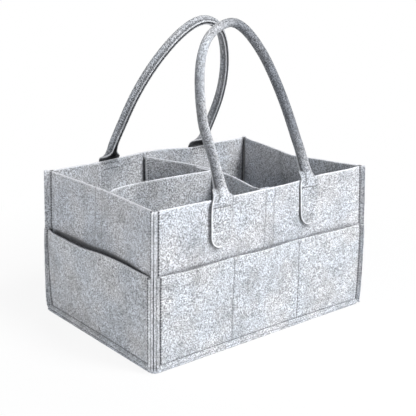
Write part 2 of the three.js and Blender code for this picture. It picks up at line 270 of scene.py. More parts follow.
def felt_material(name, colour, contrast=1.0, sheen=0.12):
    """Pressed felt of mixed light and dark fibres. It is paler where the sheet's mark cut is
    high, at cut edges that are partly a painted highlight; nearly black where the mark for
    seams and painted shade is high; and dark grey where the mark for darker felt and painted
    shade is high."""
    n = MaterialNodes(name)
    cloud = n.noise(34, detail=4, roughness=0.62)
    tint = n.noise(22, detail=2, place=n.stretched((30, 10, 80), (1, 1, 1)))
    patch = n.noise(230, detail=2, roughness=0.6)
    grain = n.noise(680, detail=1)
    ridges = []
    for scale, angles, stretch in STRANDS:
        strand = n.noise(scale, detail=1, distortion=1.5, place=n.stretched(angles, stretch))
        ridges.append(n.math("ABSOLUTE", n.math("SUBTRACT", strand, 0.5), 0))

    def shade(amount):
        return tuple(min(1.0, c * (1 + amount * contrast)) for c in colour)

    base = n.ramp(
        grain, [(0.42, shade(-0.88)), (0.48, shade(-0.45)), (0.51, shade(0.2)), (0.57, shade(0.55))]
    )
    for layer, stops, amount in (
        (patch, [(0.36, 0.5), (0.49, 0.0)], -0.4),
        (patch, [(0.52, 0.0), (0.64, 0.45)], 0.4),
        (ridges[0], [(0.0, 0.85), (0.045, 0.0)], -0.66),
        (ridges[1], [(0.0, 0.8), (0.04, 0.0)], -0.6),
        (ridges[2], [(0.0, 0.7), (0.026, 0.0)], 0.6),
    ):
        base = n.mix(n.ramp(layer, stops), base, shade(amount))
    base = n.mix(1.0, base, n.ramp(cloud, [(0.34, 0.76), (0.5, 0.95), (0.64, 1.0)]), "MULTIPLY")
    base = n.mix(1.0, base, n.ramp(tint, [(0.4, (1, 1, 1)), (0.62, (0.93, 0.965, 1))]), "MULTIPLY")
    # The cut edges are paler, partly as a painted highlight; the seam mark paints dark seam lines
    # and near-black painted shade in folds, creases, hollows and under edges
    for mark, strength, amount in (("cut", 0.75, 0.55), ("sewn", 0.95, -1.02)):
        share = n.add("ShaderNodeAttribute", attribute_name=mark).outputs["Fac"]
        base = n.mix(n.math("MULTIPLY", share, strength), base, shade(amount))
    # The dark mark darkens the felt along the handles and on the corners' flanges, and paints shade
    # in hollows and on the side of a handle leg away from the light
    handled = n.add("ShaderNodeAttribute", attribute_name="handled").outputs["Fac"]
    base = n.mix(handled, base, DARK_AND_SHADE_COLOUR, "MULTIPLY")
    height = n.math("ADD", n.math("MULTIPLY", grain, 0.9), n.math("MULTIPLY", patch, 0.7))
    height = n.math("SUBTRACT", height, n.math("MULTIPLY", ridges[0], 1.2))
    return n.finish(
        base, height, 0.5, 0.0011,
        Roughness=0.96, Specular_IOR_Level=0.15, Sheen_Weight=sheen, Sheen_Roughness=0.6,
    )


def thread_material(name, colour):
    """Spun thread: a fine twist of light and shade."""
    n = MaterialNodes(name)
    twist = n.noise(2600, detail=2, place=n.stretched((45, 20, 45), (1, 1, 3)))
    shades = n.ramp(twist, [(0.35, tuple(c * 0.7 for c in colour)), (0.6, colour)])
    return n.finish(shades, twist, 0.5, 0.0002, Roughness=0.7, Sheen_Weight=0.2)


def tape_material(name, colour, fuzz):
    """Hook-and-loop tape: rows of small hooks, or a mat of loops."""
    n = MaterialNodes(name)
    if fuzz:
        height = n.noise(1500, detail=3, roughness=0.8, distortion=1.2)
    else:
        cells = n.add("ShaderNodeTexVoronoi", feature="F1")
        n.link(n.place, cells.inputs["Vector"])
        set_inputs(cells, Scale=620, Randomness=0.25)
        height = n.math("SUBTRACT", 1.0, cells.outputs["Distance"])
    shades = n.ramp(height, [(0.25, tuple(c * 0.62 for c in colour)), (0.75, colour)])
    return n.finish(shades, height, 0.8, 0.0008, Roughness=0.9 if fuzz else 0.55)


BODY_FELT = felt_material("heather_felt_body", (0.65, 0.662, 0.695), contrast=0.78)
POCKET_FELT = felt_material("heather_felt_pocket", (0.66, 0.672, 0.705), contrast=0.8)
DIVIDER_FELT = felt_material("heather_felt_divider", (0.63, 0.645, 0.68), contrast=0.85)
HANDLE_FELT = felt_material("heather_felt_handle", (0.63, 0.643, 0.68), contrast=0.9, sheen=0.3)
FILLER_FELT = felt_material("handle_filler_wadding", (0.72, 0.72, 0.7), contrast=0.5)
THREAD = thread_material("pale_grey_thread", (0.66, 0.67, 0.7))
# A grey copy of the pale grey thread, darkened as painted shade for the fins and tab outlines
SHADE_GREY_THREAD = thread_material("thread_painted_grey_as_shade", (0.36, 0.37, 0.39))
PALE_THREAD = thread_material("white_thread", (0.82, 0.83, 0.85))
# A near-black copy of the thread, as painted shade in the grooves and needle holes of the seams and
# folds
SHADE_DARK_THREAD = thread_material("thread_painted_dark_as_shade", (0.06, 0.063, 0.072))
LOOP_TAPE = tape_material("loop_tape", (0.62, 0.63, 0.66), fuzz=True)
HOOK_TAPE = tape_material("hook_tape", (0.58, 0.59, 0.62), fuzz=False)

# ---------------------------------------------------------------- mesh helpers


def new_object(name, vertices, faces, material):
    """A smooth mesh object from points in millimetres."""
    mesh = bpy.data.meshes.new(name)
    mesh.from_pydata((np.asarray(vertices) * MM).tolist(), [], faces)
    mesh.validate()
    work = bmesh.new()
    work.from_mesh(mesh)
    bmesh.ops.recalc_face_normals(work, faces=work.faces)
    work.to_mesh(mesh)
    work.free()
    mesh.materials.append(material)
    mesh.shade_smooth()
    piece = bpy.data.objects.new(name, mesh)
    bpy.context.scene.collection.objects.link(piece)
    return piece


def facing(grid):
    """Unit normals of a grid of points, rows by columns."""
    n = np.cross(np.gradient(grid, axis=1), np.gradient(grid, axis=0))
    return n / np.maximum(np.linalg.norm(n, axis=-1, keepdims=True), 1e-9)


# Outermost rows and columns: share of the thickness kept, and how much of the paler cut edge,
# partly a painted highlight, shows
SOFT_EDGE = ((0.42, 1.0), (0.82, 0.8), (1.0, 0.3))
SEAM_EDGE = ((0.72, 0.3), (0.94, 0.15), (1.0, 0.0))


def felt_sheet(
    name, grid, material, thickness=FELT, thin=1.0, ends=SOFT_EDGE, pale=1.0, painted_light=0.0, **marks
):
    """A closed sheet round a grid of middle points. thin is a share of the thickness at
    each point, and the outermost rows and columns are rounded off. pale is how much the
    cut edges show, paler than the felt and partly a painted highlight, and the next argument
    is painted light: where the felt is as pale as they are. Each of the marks is a grid of
    shares from 0 to 1 that the felt's material reads, or one grid for each face of the sheet."""
    rows, cols = grid.shape[:2]
    share = np.ones((rows, cols)) * thin
    cut = np.zeros((rows, cols))
    for axis, edges in enumerate((SOFT_EDGE, ends)):
        for k, (left, shown) in enumerate(edges):
            for index in (k, grid.shape[axis] - 1 - k):
                at = (slice(None),) * axis + (index,)
                share[at] = np.minimum(share[at], left)
                cut[at] = np.maximum(cut[at], shown)
    normal = facing(grid)
    half = (thickness / 2 * share)[..., None] * normal
    outer, inner = grid + half, grid - half
    count = rows * cols
    index = np.arange(count).reshape(rows, cols)
    quads = np.stack(
        [index[:-1, :-1], index[:-1, 1:], index[1:, 1:], index[1:, :-1]], -1
    ).reshape(-1, 4)
    faces = quads.tolist() + (quads[:, ::-1] + count).tolist()
    border = np.concatenate(
        [index[0, :-1], index[:-1, -1], index[-1, :0:-1], index[:0:-1, 0]]
    )
    following = np.roll(border, -1)
    faces += [[b, b + count, f + count, f] for b, f in zip(border.tolist(), following.tolist())]
    points = np.concatenate([outer.reshape(-1, 3), inner.reshape(-1, 3)])
    piece = new_object(name, points, faces, material)
    for mark, shares in {"cut": np.maximum(cut * pale, painted_light), **marks}.items():
        on_faces = shares if isinstance(shares, tuple) else (shares, shares)
        both = np.concatenate([np.broadcast_to(f, (rows, cols)).ravel() for f in on_faces])
        data = piece.data.attributes.new(mark, "FLOAT", "POINT").data
        data.foreach_set("value", both.astype(np.float32))
    return {"piece": piece, "outer": outer, "inner": inner, "normal": normal}


def ring(centre, across, up, radius, sides):
    """Points of a ring round a centre."""
    angles = np.arange(sides) * 2 * math.pi / sides
    return [centre + (across * math.cos(a) + up * math.sin(a)) * radius for a in angles]


def tube_faces(first, rings, sides):
    """Faces of a closed tube through rings of points, from the point numbered first."""
    faces = []
    for a in range(first, first + (rings - 1) * sides, sides):
        for i in range(sides):
            j = (i + 1) % sides
            faces.append([a + i, a + j, a + sides + j, a + sides + i])
    last = first + (rings - 1) * sides
    faces.append([first + i for i in reversed(range(sides))])
    faces.append([last + i for i in range(sides)])
    return faces


# A stitch's rings: place along it, share of its radius, lift as a share of its radius
STITCH_RINGS = [
    (-0.5, 0.35, -0.5), (-0.32, 0.85, 0.15), (0.0, 1.0, 0.45), (0.32, 0.85, 0.15), (0.5, 0.35, -0.5)
]
STITCH_SIDES = 6
STITCH_LEAN = 0.12


def stitches(name, runs, body, pitch=3.6, length=2.7, radius=0.36, material=None, seed=3):
    """Sewn thread along runs of (points, normals), one bead for each stitch."""
    rng = np.random.default_rng(seed)
    vertices, faces = [], []
    for points, normals in runs:
        points, normals = np.asarray(points, float), np.asarray(normals, float)
        travelled = travel(points)
        count = max(1, int(travelled[-1] / pitch))
        for k in range(count):
            middle = (k + 0.5) * travelled[-1] / count
            start, here, end = (
                value_at(middle + half, travelled, points) for half in (-length / 2, 0, length / 2)
            )
            out = value_at(middle, travelled, normals)
            out /= np.linalg.norm(out)
            heading = end - start
            heading /= np.linalg.norm(heading)
            aside = np.cross(out, heading)
            aside /= np.linalg.norm(aside)
            lean = rng.uniform(-STITCH_LEAN, STITCH_LEAN)
            faces += tube_faces(len(vertices), len(STITCH_RINGS), STITCH_SIDES)
            for place, wide, lift in STITCH_RINGS:
                centre = here + (end - start) * place + out * radius * lift
                centre = centre + aside * lean * place * length
                vertices += ring(centre, aside, out, radius * wide, STITCH_SIDES)
    piece = new_object(name, vertices, faces, material or THREAD)
    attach(piece, body)
    return piece


# ---------------------------------------------------------------- where the handles are stitched on

STRAP_WIDTH = 29.0
STRAP_DROP = 55.0
TAB_END_RADIUS = 14.0
TAB_FLAT = STRAP_WIDTH / 2 - TAB_END_RADIUS
HINGE_HEIGHT = BODY_HEIGHT - 8.0
TAB_TOP_ROW = HINGE_HEIGHT - 2.4
RISE_BEFORE_BEND = 10.0
BEND_RADIUS = 12.0
ARCH_START = 14.0
FIN_START = 24.0
CORE_START = 30.0
CORE_RADIUS = 2.5
ROLL_RADIUS = CORE_RADIUS + CLEARANCE + FELT / 2
CLOSE_ANGLE = math.radians(135)
STRAP_FACE = HALF_DEPTH + CLEARANCE
TAB_LENGTH = STRAP_DROP - (BODY_HEIGHT - HINGE_HEIGHT)

# The handles, in millimetres and degrees. spacing lies between the legs and centre is
# their middle along the side. rise and lean are those of the arch, sway and tilt skew it,
# spread widens it half way up, and shoulder and crown are the powers of its curve. roll
# has the stages in which the strip rolls up beyond a tab, as (start, end, share), and
# sooner how much earlier each half of each leg does so. pinch is a dent of the necks, and
# painted_groove moves the painted shade of the hollow beside the fin and, where it is not
# 0, paints a groove of shade at the necks. darkness is how dark the strip is at
# DARKNESS_PLACES, shaded how much painted shade darkens its left leg on one side, and aside
# how far each leg stands to one side at LEG_HEIGHTS.
HANDLES = {
    "front_handle": {
        "side": "front", "spacing": 133.0, "centre": -4.5, "rise": 191.0, "lean": 28.0,
        "sway": 8.5, "sway_power": 0.3, "tilt": 0.13, "spread": 0.017,
        "shoulder": 2.27, "crown": 2.74,
        "roll": ((8, 23, 0.8), (18, 52, 0.2)), "sooner": ((-2.0, -3.0), (0.0, -2.0)),
        "pinch": (0.12, 0.22), "painted_groove": 1.7,
        "darkness": (0.12, 0.1, 0.1, 0.2, 0.95, 1.0, 0.4), "shaded": 0.82,
        "aside": (
            (0, 0, 0, 0.6, 3.4, 3.8, 3.6, 3.2, 1.6, -1.5, -1.2, -0.7, 0),
            (7.0, 6.2, 5.0, 4.4, 5.2, 3.0, 1.6, 0.8, 0.3, 0.8, 1.0, 1.2, 0),
        ),
    },
    "rear_handle": {
        "side": "rear", "spacing": 135.0, "centre": -0.5, "rise": 189.0, "lean": 25.0,
        "sway": -23.0, "sway_power": 0.83, "tilt": 0.107, "spread": 0.16,
        "shoulder": 1.93, "crown": 2.25,
        "roll": ((7, 29, 0.9), (22, 42, 0.1)), "sooner": ((0.0, 0.0), (0.0, 0.0)),
        "pinch": (0.0, 0.0), "painted_groove": 0.0,
        "darkness": (0.3, 0.25, 0.35, 0.3, 0.15, 0.15, 0.35), "shaded": 0.0,
        "aside": (
            (-2, -2.5, -3.5, -5.5, -7.0, -5.5, -2.0, 0.5, 1.6, 1.8, 1.8, 1.0, 0),
            (0, 0, 0, 0.5, 2.5, 3.8, 3.8, 2.0, 0.4, 0, 0, 0, 0),
        ),
    },
}
# How far the painted shade under a tab reaches past its left edge
TAB_SHADE = 0.8
LEG_HEIGHTS = (125, 140, 160, 178, 186, 194, 206, 220, 235, 255, 280, 320, 348)


def leg_aside(handle, leg, height):
    """How far to one side a leg and its tab stand from their straight place."""
    heights = np.asarray(height, float)[..., None] + np.linspace(-6, 6, 7)
    return np.interp(heights, LEG_HEIGHTS, handle["aside"][int(leg)]).mean(-1)


def leg_centre(handle, leg, height):
    """Where the middle of a leg or tab is along its side."""
    return handle["centre"] + (leg - 0.5) * handle["spacing"] + leg_aside(handle, leg, height)


def under_tab(side, along, rows):
    """How deep a wall's places lie under the handle tabs, negative beside them. The painted
    shade under a tab shows a little beyond its left edge."""
    deepest = np.full((len(rows), len(along)), -99.0)
    below = np.minimum(rows - (HINGE_HEIGHT - TAB_LENGTH + TAB_END_RADIUS), 0)[:, None]
    for handle in HANDLES.values():
        if handle["side"] != side:
            continue
        for leg in (0, 1):
            centre = leg_centre(handle, leg, rows)[:, None]
            beside = np.maximum(np.abs(along[None] - centre) - TAB_FLAT, 0)
            deep = TAB_END_RADIUS - np.hypot(beside, below)
            deepest = np.maximum(deepest, deep + TAB_SHADE * (along[None] < centre))
    return deepest


def tab_half_width(distance):
    """Half of the strip's width near its rounded end."""
    rise = np.clip(distance, 0, TAB_END_RADIUS)
    return TAB_FLAT + np.sqrt(TAB_END_RADIUS**2 - (TAB_END_RADIUS - rise) ** 2)


# ---------------------------------------------------------------- walls and pockets


def seam_flare(height):
    """How far the lower edges of the walls and pockets flare outward."""
    share = np.clip(1 - (np.asarray(height, float) - WALL_BOTTOM) / BOTTOM_SEAM_HEIGHT, 0, 1)
    return BOTTOM_SEAM_FLARE * share**BOTTOM_SEAM_POWER


BOTTOM_STITCH = 7.6
SEEDS = {"front": 1.7, "right": 5.3, "rear": 9.1, "left": 13.9}


def corner_seam(shift, rise=0.0, seam=1.0, darkness=0.1):
    """A corner: how far it stands out at each of CORNER_HEIGHTS, how much higher its top
    is, the share of the usual width that its seam has, and how dark the seam is."""
    return {"shift": shift, "rise": rise, "seam": seam, "darkness": darkness}


CORNER_HEIGHTS = [0, 6, 20, 60, 100, 140, 180]
CORNERS = {
    "front_left": corner_seam([1.2, 1.6, 2.1, 2.0, 1.1, -0.2, -1.3]),
    # The front right corner's flanges are darker with painted shade, as they turn from the light
    "front_right": corner_seam([3.4, 3.8, 4.5, 4.7, 4.1, 2.9, 1.5], 3.0, seam=0.52, darkness=0.45),
    "rear_right": corner_seam([1.2, 1.6, 2.1, 2.0, 1.1, -0.2, -1.3], 1.9),
    "rear_left": corner_seam([-0.8, 0.0, 0.8, 0.8, 0.0, -0.9, -1.4]),
}
SIDE_ENDS = {
    "front": ("front_left", "front_right"), "right": ("front_right", "rear_right"),
    "rear": ("rear_right", "rear_left"), "left": ("rear_left", "front_left"),
}


def corner_shift(corner, height):
    """How far a corner seam stands out from an upright line, along x and along y."""
    height = np.asarray(height, float)
    line = np.interp(height, CORNER_HEIGHTS, CORNERS[corner]["shift"])
    return line + 0.3 * ripple(height, 0.0, 3.3, 24) * smooth(height, 10, 30)


# How the walls bow outward at their tops. The long ones have bumps at a place, of
# (size, width), the ends one sag of (size, power of the share of the way to a corner).
WALL_BUMPS = {"front": ((-25, (3.0, 55)), (92, (-3.6, 38))), "rear": ((30, (1.5, 60)),)}
WALL_SAGS = {"left": (-5.0, 2), "right": (-15.0, 1.25)}
BUMP_POWER, SAG_POWER = 1.6, 1.5
# Ripples of the walls: (size, added to the seed, size of the places)
WALL_RIPPLES = ((0.9, 0, 62), (0.35, 40, 21))
# Sizes and widths of what sewing does to the felt, and of painted shade. Dents of a wall
# at the bottom seam and behind the mouths of the pockets:
SEAM_DENT, MOUTH_DENT = (-0.5, 1.3), (-1.3, 5)
# the share of the thickness that is lost at the bottom, corner and bay seams:
BOTTOM_THIN, CORNER_THIN, BAY_THIN = (0.22, 1.2), (0.1, 1.4), (0.25, 1.6)
# and dark lines on the felt: the seams' lines, partly painted shade in their grooves and
# folds, and the last one painted shadow at the mouths of the pockets:
BAY_LINE, BOTTOM_LINE, FOLD_LINE, TAPE_LINE = (0.6, 0.85), (0.7, 0.8), (0.75, 1.3), (0.5, 1.1)
MOUTH_LINE = (1.0, 1.4)


def wall_shift(side, along, height):
    """How far outward a wall stands from its flat place."""
    run = SIDES[side]["run"]
    up = np.clip(np.asarray(height, float) / BODY_HEIGHT, 0, 1.3)
    share = np.minimum(1, np.abs(along) / run)
    to_corner = run - np.abs(along)
    if side in WALL_BUMPS:
        bow = sum(hump(along, place, bump) for place, bump in WALL_BUMPS[side]) * up**BUMP_POWER
    else:
        size, power = WALL_SAGS[side]
        bow = size * (1 - share**power) * up**SAG_POWER
    uneven = sum(
        size * ripple(along, height, SEEDS[side] + seed, places)
        for size, seed, places in WALL_RIPPLES
    )
    uneven = uneven * smooth(to_corner, 3, 22) * smooth(height, 9, 30)
    pinch = hump(height, BOTTOM_STITCH, SEAM_DENT)
    behind_mouth = hump(height, POCKET_HEIGHT - 1, MOUTH_DENT) * smooth(to_corner, 2, 12)
    left, right = (corner_shift(corner, height) for corner in SIDE_ENDS[side])
    corner = np.where(np.asarray(along) < 0, left, right) * share**2
    return bow * smooth(to_corner, 0, 8) + uneven + pinch + behind_mouth + corner


NEAR_MARK = np.array([-6, -4, -2.6, -1.6, -0.8, 0, 0.8, 1.6, 2.6, 4, 6])
LOW_ROWS = np.array([0, 0.35, 0.9, 1.8, 2.8, 3.7, 4.3, 4.8, 5.3, 5.9, 6.7, 7.8, 9.5, 12, 15])
MOUTH_ROWS = np.array([-4, -2.2, -1, 0, 1, 2.2, 3.6, 5.4])
TOP_ROWS = np.array([-2.2, -1.1, -0.4, 0])
ROW_STEP = 3.6


def panel_columns(run, marks=()):
    """Shares across a panel's face, closer together near its ends and marks."""
    width = 2 * run
    places = [0.0]
    while places[-1] < width / 2:
        places.append(places[-1] + min(4.2, 0.8 + 0.16 * places[-1]))
    places = np.array(places[:-1] + [width / 2])
    places = np.unique(np.round(np.concatenate([places, width - places]), 4))
    for mark in marks:
        places = np.concatenate([places[np.abs(places - mark) > 7.5], mark + NEAR_MARK])
    return np.sort(places) / width


def panel_rows(top, close=()):
    """Heights of a panel's rows, closer together near its edges, near a pocket's mouth
    and where asked for."""
    low = WALL_BOTTOM + LOW_ROWS
    upper = np.arange(low[-1] + ROW_STEP, top - 4, ROW_STEP)
    if top > POCKET_HEIGHT:
        upper = upper[np.abs(upper - POCKET_HEIGHT) > 6.5]
        upper = np.sort(np.concatenate([upper, POCKET_HEIGHT + MOUTH_ROWS]))
    for height in close:
        upper = np.append(upper[np.abs(upper - height) > 0.9], height)
    return np.concatenate([low, np.sort(upper), top + TOP_ROWS])


SEAM_STITCH = 0.4
FLANGE_PLACES = [5.0, 4.75, 4.3, 3.6, 2.7, 1.8, 1.0, 0.4, -0.2, -0.9]
BEND_PLACES = [0.25, 0.5, 0.75]
FLANGE_COUNT = len(FLANGE_PLACES) + len(BEND_PLACES)
STITCH_COLUMN = FLANGE_COUNT + 1
SEAM_SPLAY = 0.45
CORNER_RISE_REACH = 40.0


def sewn_flat(place):
    """The share of its thickness that the felt keeps along the stitches of a corner."""
    return 1 - hump(place, SEAM_STITCH, CORNER_THIN)


def panel_grid(side, depth, rows, shares, stand_out, top_wave):
    """Middle points of a panel from seam tip to seam tip, row by row."""
    run, face = SIDES[side]["run"], SIDES[side]["face"]
    flush = CLEARANCE / 2 + depth
    tip, root = FLANGE_PLACES[0], FLANGE_PLACES[-1]
    grid = []
    for height in rows:
        outward = depth - FELT + float(seam_flare(height))
        start = ROOT2 * outward - flush + PANEL_BEND
        splay = SEAM_SPLAY * (1 - 0.8 * float(smooth(height, 106, 118)))
        flanges, bends, rises = [], [], []
        for corner in SIDE_ENDS[side]:
            shift = float(corner_shift(corner, height))
            here_run, here_face = run + shift, face + shift
            bend = here_run - ROOT2 * flush + outward
            reach = tip * CORNERS[corner]["seam"] * (0.75 + 0.25 * float(smooth(height, 1, 9)))
            flange = []
            for place in FLANGE_PLACES:
                s = start + (reach - start) * ((place - root) / (tip - root))
                near = flush * float(sewn_flat(place)) + splay * max(0.0, place / tip) ** 2
                flange.append((-here_run + (near - s) / ROOT2, here_face + (near + s) / ROOT2))
            fold = np.array([-bend, here_face + outward])
            last, first = np.array(flange[-1]), fold + [PANEL_BEND, 0]
            flange += [tuple(curve(last, fold, first, t)) for t in BEND_PLACES]
            flanges.append(flange)
            bends.append(bend)
            rises.append(CORNERS[corner]["rise"] * float(smooth(height, 110, BODY_HEIGHT)))
        left_end, right_end = PANEL_BEND - bends[0], bends[1] - PANEL_BEND
        along = left_end + shares * (right_end - left_end)
        out = face + outward + wall_shift(side, along, height) + stand_out(along, height)
        heights = height + top_wave(along, height)
        heights = heights + rises[0] * np.exp((left_end - along) / CORNER_RISE_REACH)
        heights = heights + rises[1] * np.exp((along - right_end) / CORNER_RISE_REACH)
        line = [(a, -o, height + rises[0]) for a, o in flanges[0]]
        line += list(zip(along, -out, heights))
        line += [(-a, -o, height + rises[1]) for a, o in reversed(flanges[1])]
        grid.append(line)
    return turned(np.array(grid, float), SIDES[side]["turn"])


# How dark the painted shadow above the mouths of the pockets is, on each side
MOUTH_SHADE = {"front": 0.5, "rear": 0.5, "left": 0.8, "right": 0.8}
TAB_END_ROWS = np.arange(124.0, 141.0)
TAB_EDGE_HEIGHT = 150
TAB_EDGES = {side: () for side in SIDES}
for handle in HANDLES.values():
    for leg in (0, 1):
        centre = float(leg_centre(handle, leg, TAB_EDGE_HEIGHT))
        TAB_EDGES[handle["side"]] += (centre - STRAP_WIDTH / 2, centre + STRAP_WIDTH / 2)
# How dark the painted shade is across a corner's fold, by places from the seam inward
FOLD_PLACES = FLANGE_PLACES + [-1.4, -1.9, -2.4, -2.9, -3.7, -4.6, -5.6]
FOLD_SHADE = hump(FOLD_PLACES, -3.0, FOLD_LINE)
# How dark the painted shade is inside a corner, from its last flange column on
CREASE = [1.0] * (FLANGE_COUNT - len(FLANGE_PLACES)) + [1.0, 0.4]


def panel_shades(side, rows, along, columns, shape, marks, lines, gaps, is_wall):
    """How dark the seams and painted shade make a panel, on its outer and on its inner face."""
    sewn = np.zeros(shape)
    for mark in marks:
        sewn[:, columns] += hump(along, mark, BAY_LINE)
    beside = len(FOLD_SHADE)
    sewn[:, :beside] = np.maximum(sewn[:, :beside], FOLD_SHADE)
    sewn[:, -beside:] = np.maximum(sewn[:, -beside:], FOLD_SHADE[::-1])
    sewn = np.maximum(sewn, hump(rows, BOTTOM_STITCH, BOTTOM_LINE)[:, None])
    sewn *= smooth(rows, 4, 6.5)[:, None]

    # The inner face: painted shade in the creases of the corners and beside a divider's fold
    inside = sewn.copy()
    first, last = len(FLANGE_PLACES), len(FLANGE_PLACES) + len(CREASE)
    inside[:, first:last] = CREASE
    inside[:, -last:-first] = CREASE[::-1]
    for gap in gaps:
        beside_fold = 1 - smooth(np.abs(along - gap), 1.0, 2.0)
        inside[:, columns] += np.outer(1 - smooth(rows, 173, 176), beside_fold)

    # On a wall: painted shadow above the pocket's mouth, the stitch lines of the tapes, and painted
    # shade under and beside the tabs
    if is_wall:
        above = rows[:, None] - POCKET_HEIGHT - pocket_wave(side)(along, POCKET_HEIGHT)[None]
        shade = np.where(above < 0, 1, hump(above, 0, MOUTH_LINE)) * smooth(above, -8, -3)
        shade = MOUTH_SHADE[side] * shade * smooth(SIDES[side]["run"] - np.abs(along), 3, 12)
        outside = np.maximum(sewn[:, columns], shade)
        for line in lines:
            outside += hump(along, line, TAPE_LINE) * smooth(above, 0, 2)
        tabs = smooth(under_tab(side, along, rows), -0.3, 0.5)
        sewn[:, columns] = np.maximum(outside, tabs)
    return sewn, inside


def sewn_panel(
    name, side, depth, top, material, stand_out, top_wave, marks=(), lines=(), gaps=(), pale=1.0
):
    """A wall or pocket. marks are upright seams, lines are faint rows of stitches above
    the pockets, and gaps are where painted shade stands for the shadow of a divider's fold
    on the inside of the wall."""
    run = SIDES[side]["run"]
    is_wall = top > POCKET_HEIGHT
    tab_edges = TAB_EDGES[side] if is_wall else ()
    shares = panel_columns(run, [m + run for m in (*marks, *lines, *gaps, *tab_edges)])
    rows = panel_rows(top, TAB_END_ROWS if tab_edges else ())
    grid = panel_grid(side, depth, rows, shares, stand_out, top_wave)
    along = (shares * 2 - 1) * run
    columns = slice(FLANGE_COUNT, FLANGE_COUNT + len(shares))
    flange_count = len(FLANGE_PLACES)
    thin = np.ones(grid.shape[:2])
    for mark in marks:
        thin[:, columns] *= 1 - hump(along, mark, BAY_THIN)
    thin *= (1 - hump(rows, BOTTOM_STITCH, BOTTOM_THIN))[:, None]
    thin[:, :flange_count] *= sewn_flat(FLANGE_PLACES)
    thin[:, -flange_count:] *= sewn_flat(FLANGE_PLACES)[::-1]
    # Darkness of the flanges' outer faces, painted shade at the front right corner
    handled = np.zeros(grid.shape[:2])
    left, right = SIDE_ENDS[side]
    handled[:, :FLANGE_COUNT] = CORNERS[left]["darkness"]
    handled[:, -FLANGE_COUNT:] = CORNERS[right]["darkness"]
    panel = felt_sheet(
        name, grid, material, thin=thin, ends=SEAM_EDGE, pale=pale,
        sewn=panel_shades(side, rows, along, columns, grid.shape[:2], marks, lines, gaps, is_wall),
        handled=(handled, np.zeros_like(handled)),
    )
    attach(panel["piece"], "root")
    panel["rows"] = rows
    panel["columns"] = [FLANGE_COUNT + int(np.argmin(np.abs(along - mark))) for mark in marks]
    return panel


def top_line(side, seed, size, bumps, start, top):
    """How much higher the upper edge of a panel runs, fading downward."""

    def wave(along, height):
        line = size[0] * ripple(along, 0.0, SEEDS[side] + seed, size[1])
        for place, bump in bumps:
            line = line + hump(along, place, bump)
        to_corner = SIDES[side]["run"] - np.abs(along)
        return line * smooth(height, start, top) * smooth(to_corner, 0, 20)

    return wave


# Bumps of the upper edges: place along, (rise, width)
POCKET_BUMPS = {"left": ((30, (2.4, 42)),), "right": ((30, (2.4, 42)),)}
TOP_BUMPS = {"right": ((-8, (-2.0, 30)),), "rear": ((4, (3.3, 50)), (-66, (-1.6, 25)))}


def pocket_wave(side):
    """How the mouth of a pocket runs up and down."""
    return top_line(side, 11, (0.8, 38), POCKET_BUMPS.get(side, ()), 70, POCKET_HEIGHT)


def wall_wave(side):
    """How the top of a wall runs up and down."""
    return top_line(side, 7, (0.7, 55), TOP_BUMPS.get(side, ()), 110, BODY_HEIGHT)


def no_shift(along, height):
    """For walls, which stand out by nothing over their own shape."""
    return np.zeros_like(np.asarray(along, float))


WALL_LINES = {"front": (-5.0, 9.5), "rear": (-3.0, 12.0), "left": (-9.5, 4.5), "right": ()}
FOLD_GAPS = {"front": (), "rear": (17.4,), "left": (12.3,), "right": ()}
walls = {}
for side in SIDES:
    walls[side] = sewn_panel(
        f"{side}_wall_felt", side, FELT / 2, BODY_HEIGHT, BODY_FELT, no_shift, wall_wave(side),
        lines=WALL_LINES[side], gaps=FOLD_GAPS[side],
    )
    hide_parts(f"{side}_wall")

# Pockets: along the long sides three bays each, along the ends one gaping mouth.
# early moves the widest place of a mouth toward its left, sharp narrows the swell.
BAY_SEAM = 2 * HALF_LENGTH / 3 / 2
LONG_MOUTH = {"bays": 3, "gape": 4.0, "early": 1.0, "sharp": 1.5}
END_MOUTH = {"bays": 1, "gape": 11.0, "early": 0.6, "sharp": 1.0}


def gaping(side, mouth):
    """How far a pocket stands off its wall, more toward its mouth."""
    run, bays = SIDES[side]["run"], mouth["bays"]
    start = WALL_BOTTOM + BOTTOM_SEAM_HEIGHT

    def stand_out(along, height):
        across = np.clip((along + run) / (2 * run), 0, 1) * bays
        in_bay = across - np.minimum(bays - 1, np.floor(across))
        swell = np.abs(np.sin(math.pi * in_bay ** mouth["early"])) ** mouth["sharp"]
        return mouth["gape"] * swell * max(0.0, height - start) / (POCKET_HEIGHT - start)

    return stand_out


pockets = {}
for side in SIDES:
    is_long = side in ("front", "rear")
    pockets[side] = sewn_panel(
        f"{side}_pocket_felt", side, FELT + CLEARANCE + FELT / 2, POCKET_HEIGHT, POCKET_FELT,
        gaping(side, LONG_MOUTH if is_long else END_MOUTH), pocket_wave(side),
        marks=(-BAY_SEAM, BAY_SEAM) if is_long else (),
        pale=0.25 if is_long else 0.75,
    )
    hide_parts(f"{side}_pocket")

# Base, cut at its corners, under the flared edges of the walls
BASE_ROUNDING = 0.7
SHARP_EDGE = math.radians(40)
bpy.ops.object.select_all(action="DESELECT")
bpy.ops.mesh.primitive_cube_add(size=1, location=(0, 0, FELT / 2 * MM))
base = bpy.context.object
base.name = "base_felt"
base.scale = (OVERALL_LENGTH * MM, OVERALL_DEPTH * MM, FELT * MM)
bpy.ops.object.transform_apply(location=True, rotation=True, scale=True)
bpy.ops.object.mode_set(mode="EDIT")
bpy.context.tool_settings.mesh_select_mode = (False, True, False)
bpy.ops.mesh.select_all(action="DESELECT")
work = bmesh.from_edit_mesh(base.data)
for edge in work.edges:
    low, high = sorted(vertex.co.z for vertex in edge.verts)
    edge.select_set(high - low > FELT / 2 * MM)
bmesh.update_edit_mesh(base.data)
bpy.ops.mesh.bevel(offset=BASE_CORNER_CUT * MM, segments=3, affect="EDGES")
bpy.ops.object.mode_set(mode="OBJECT")
rounding = base.modifiers.new("rounding", "BEVEL")
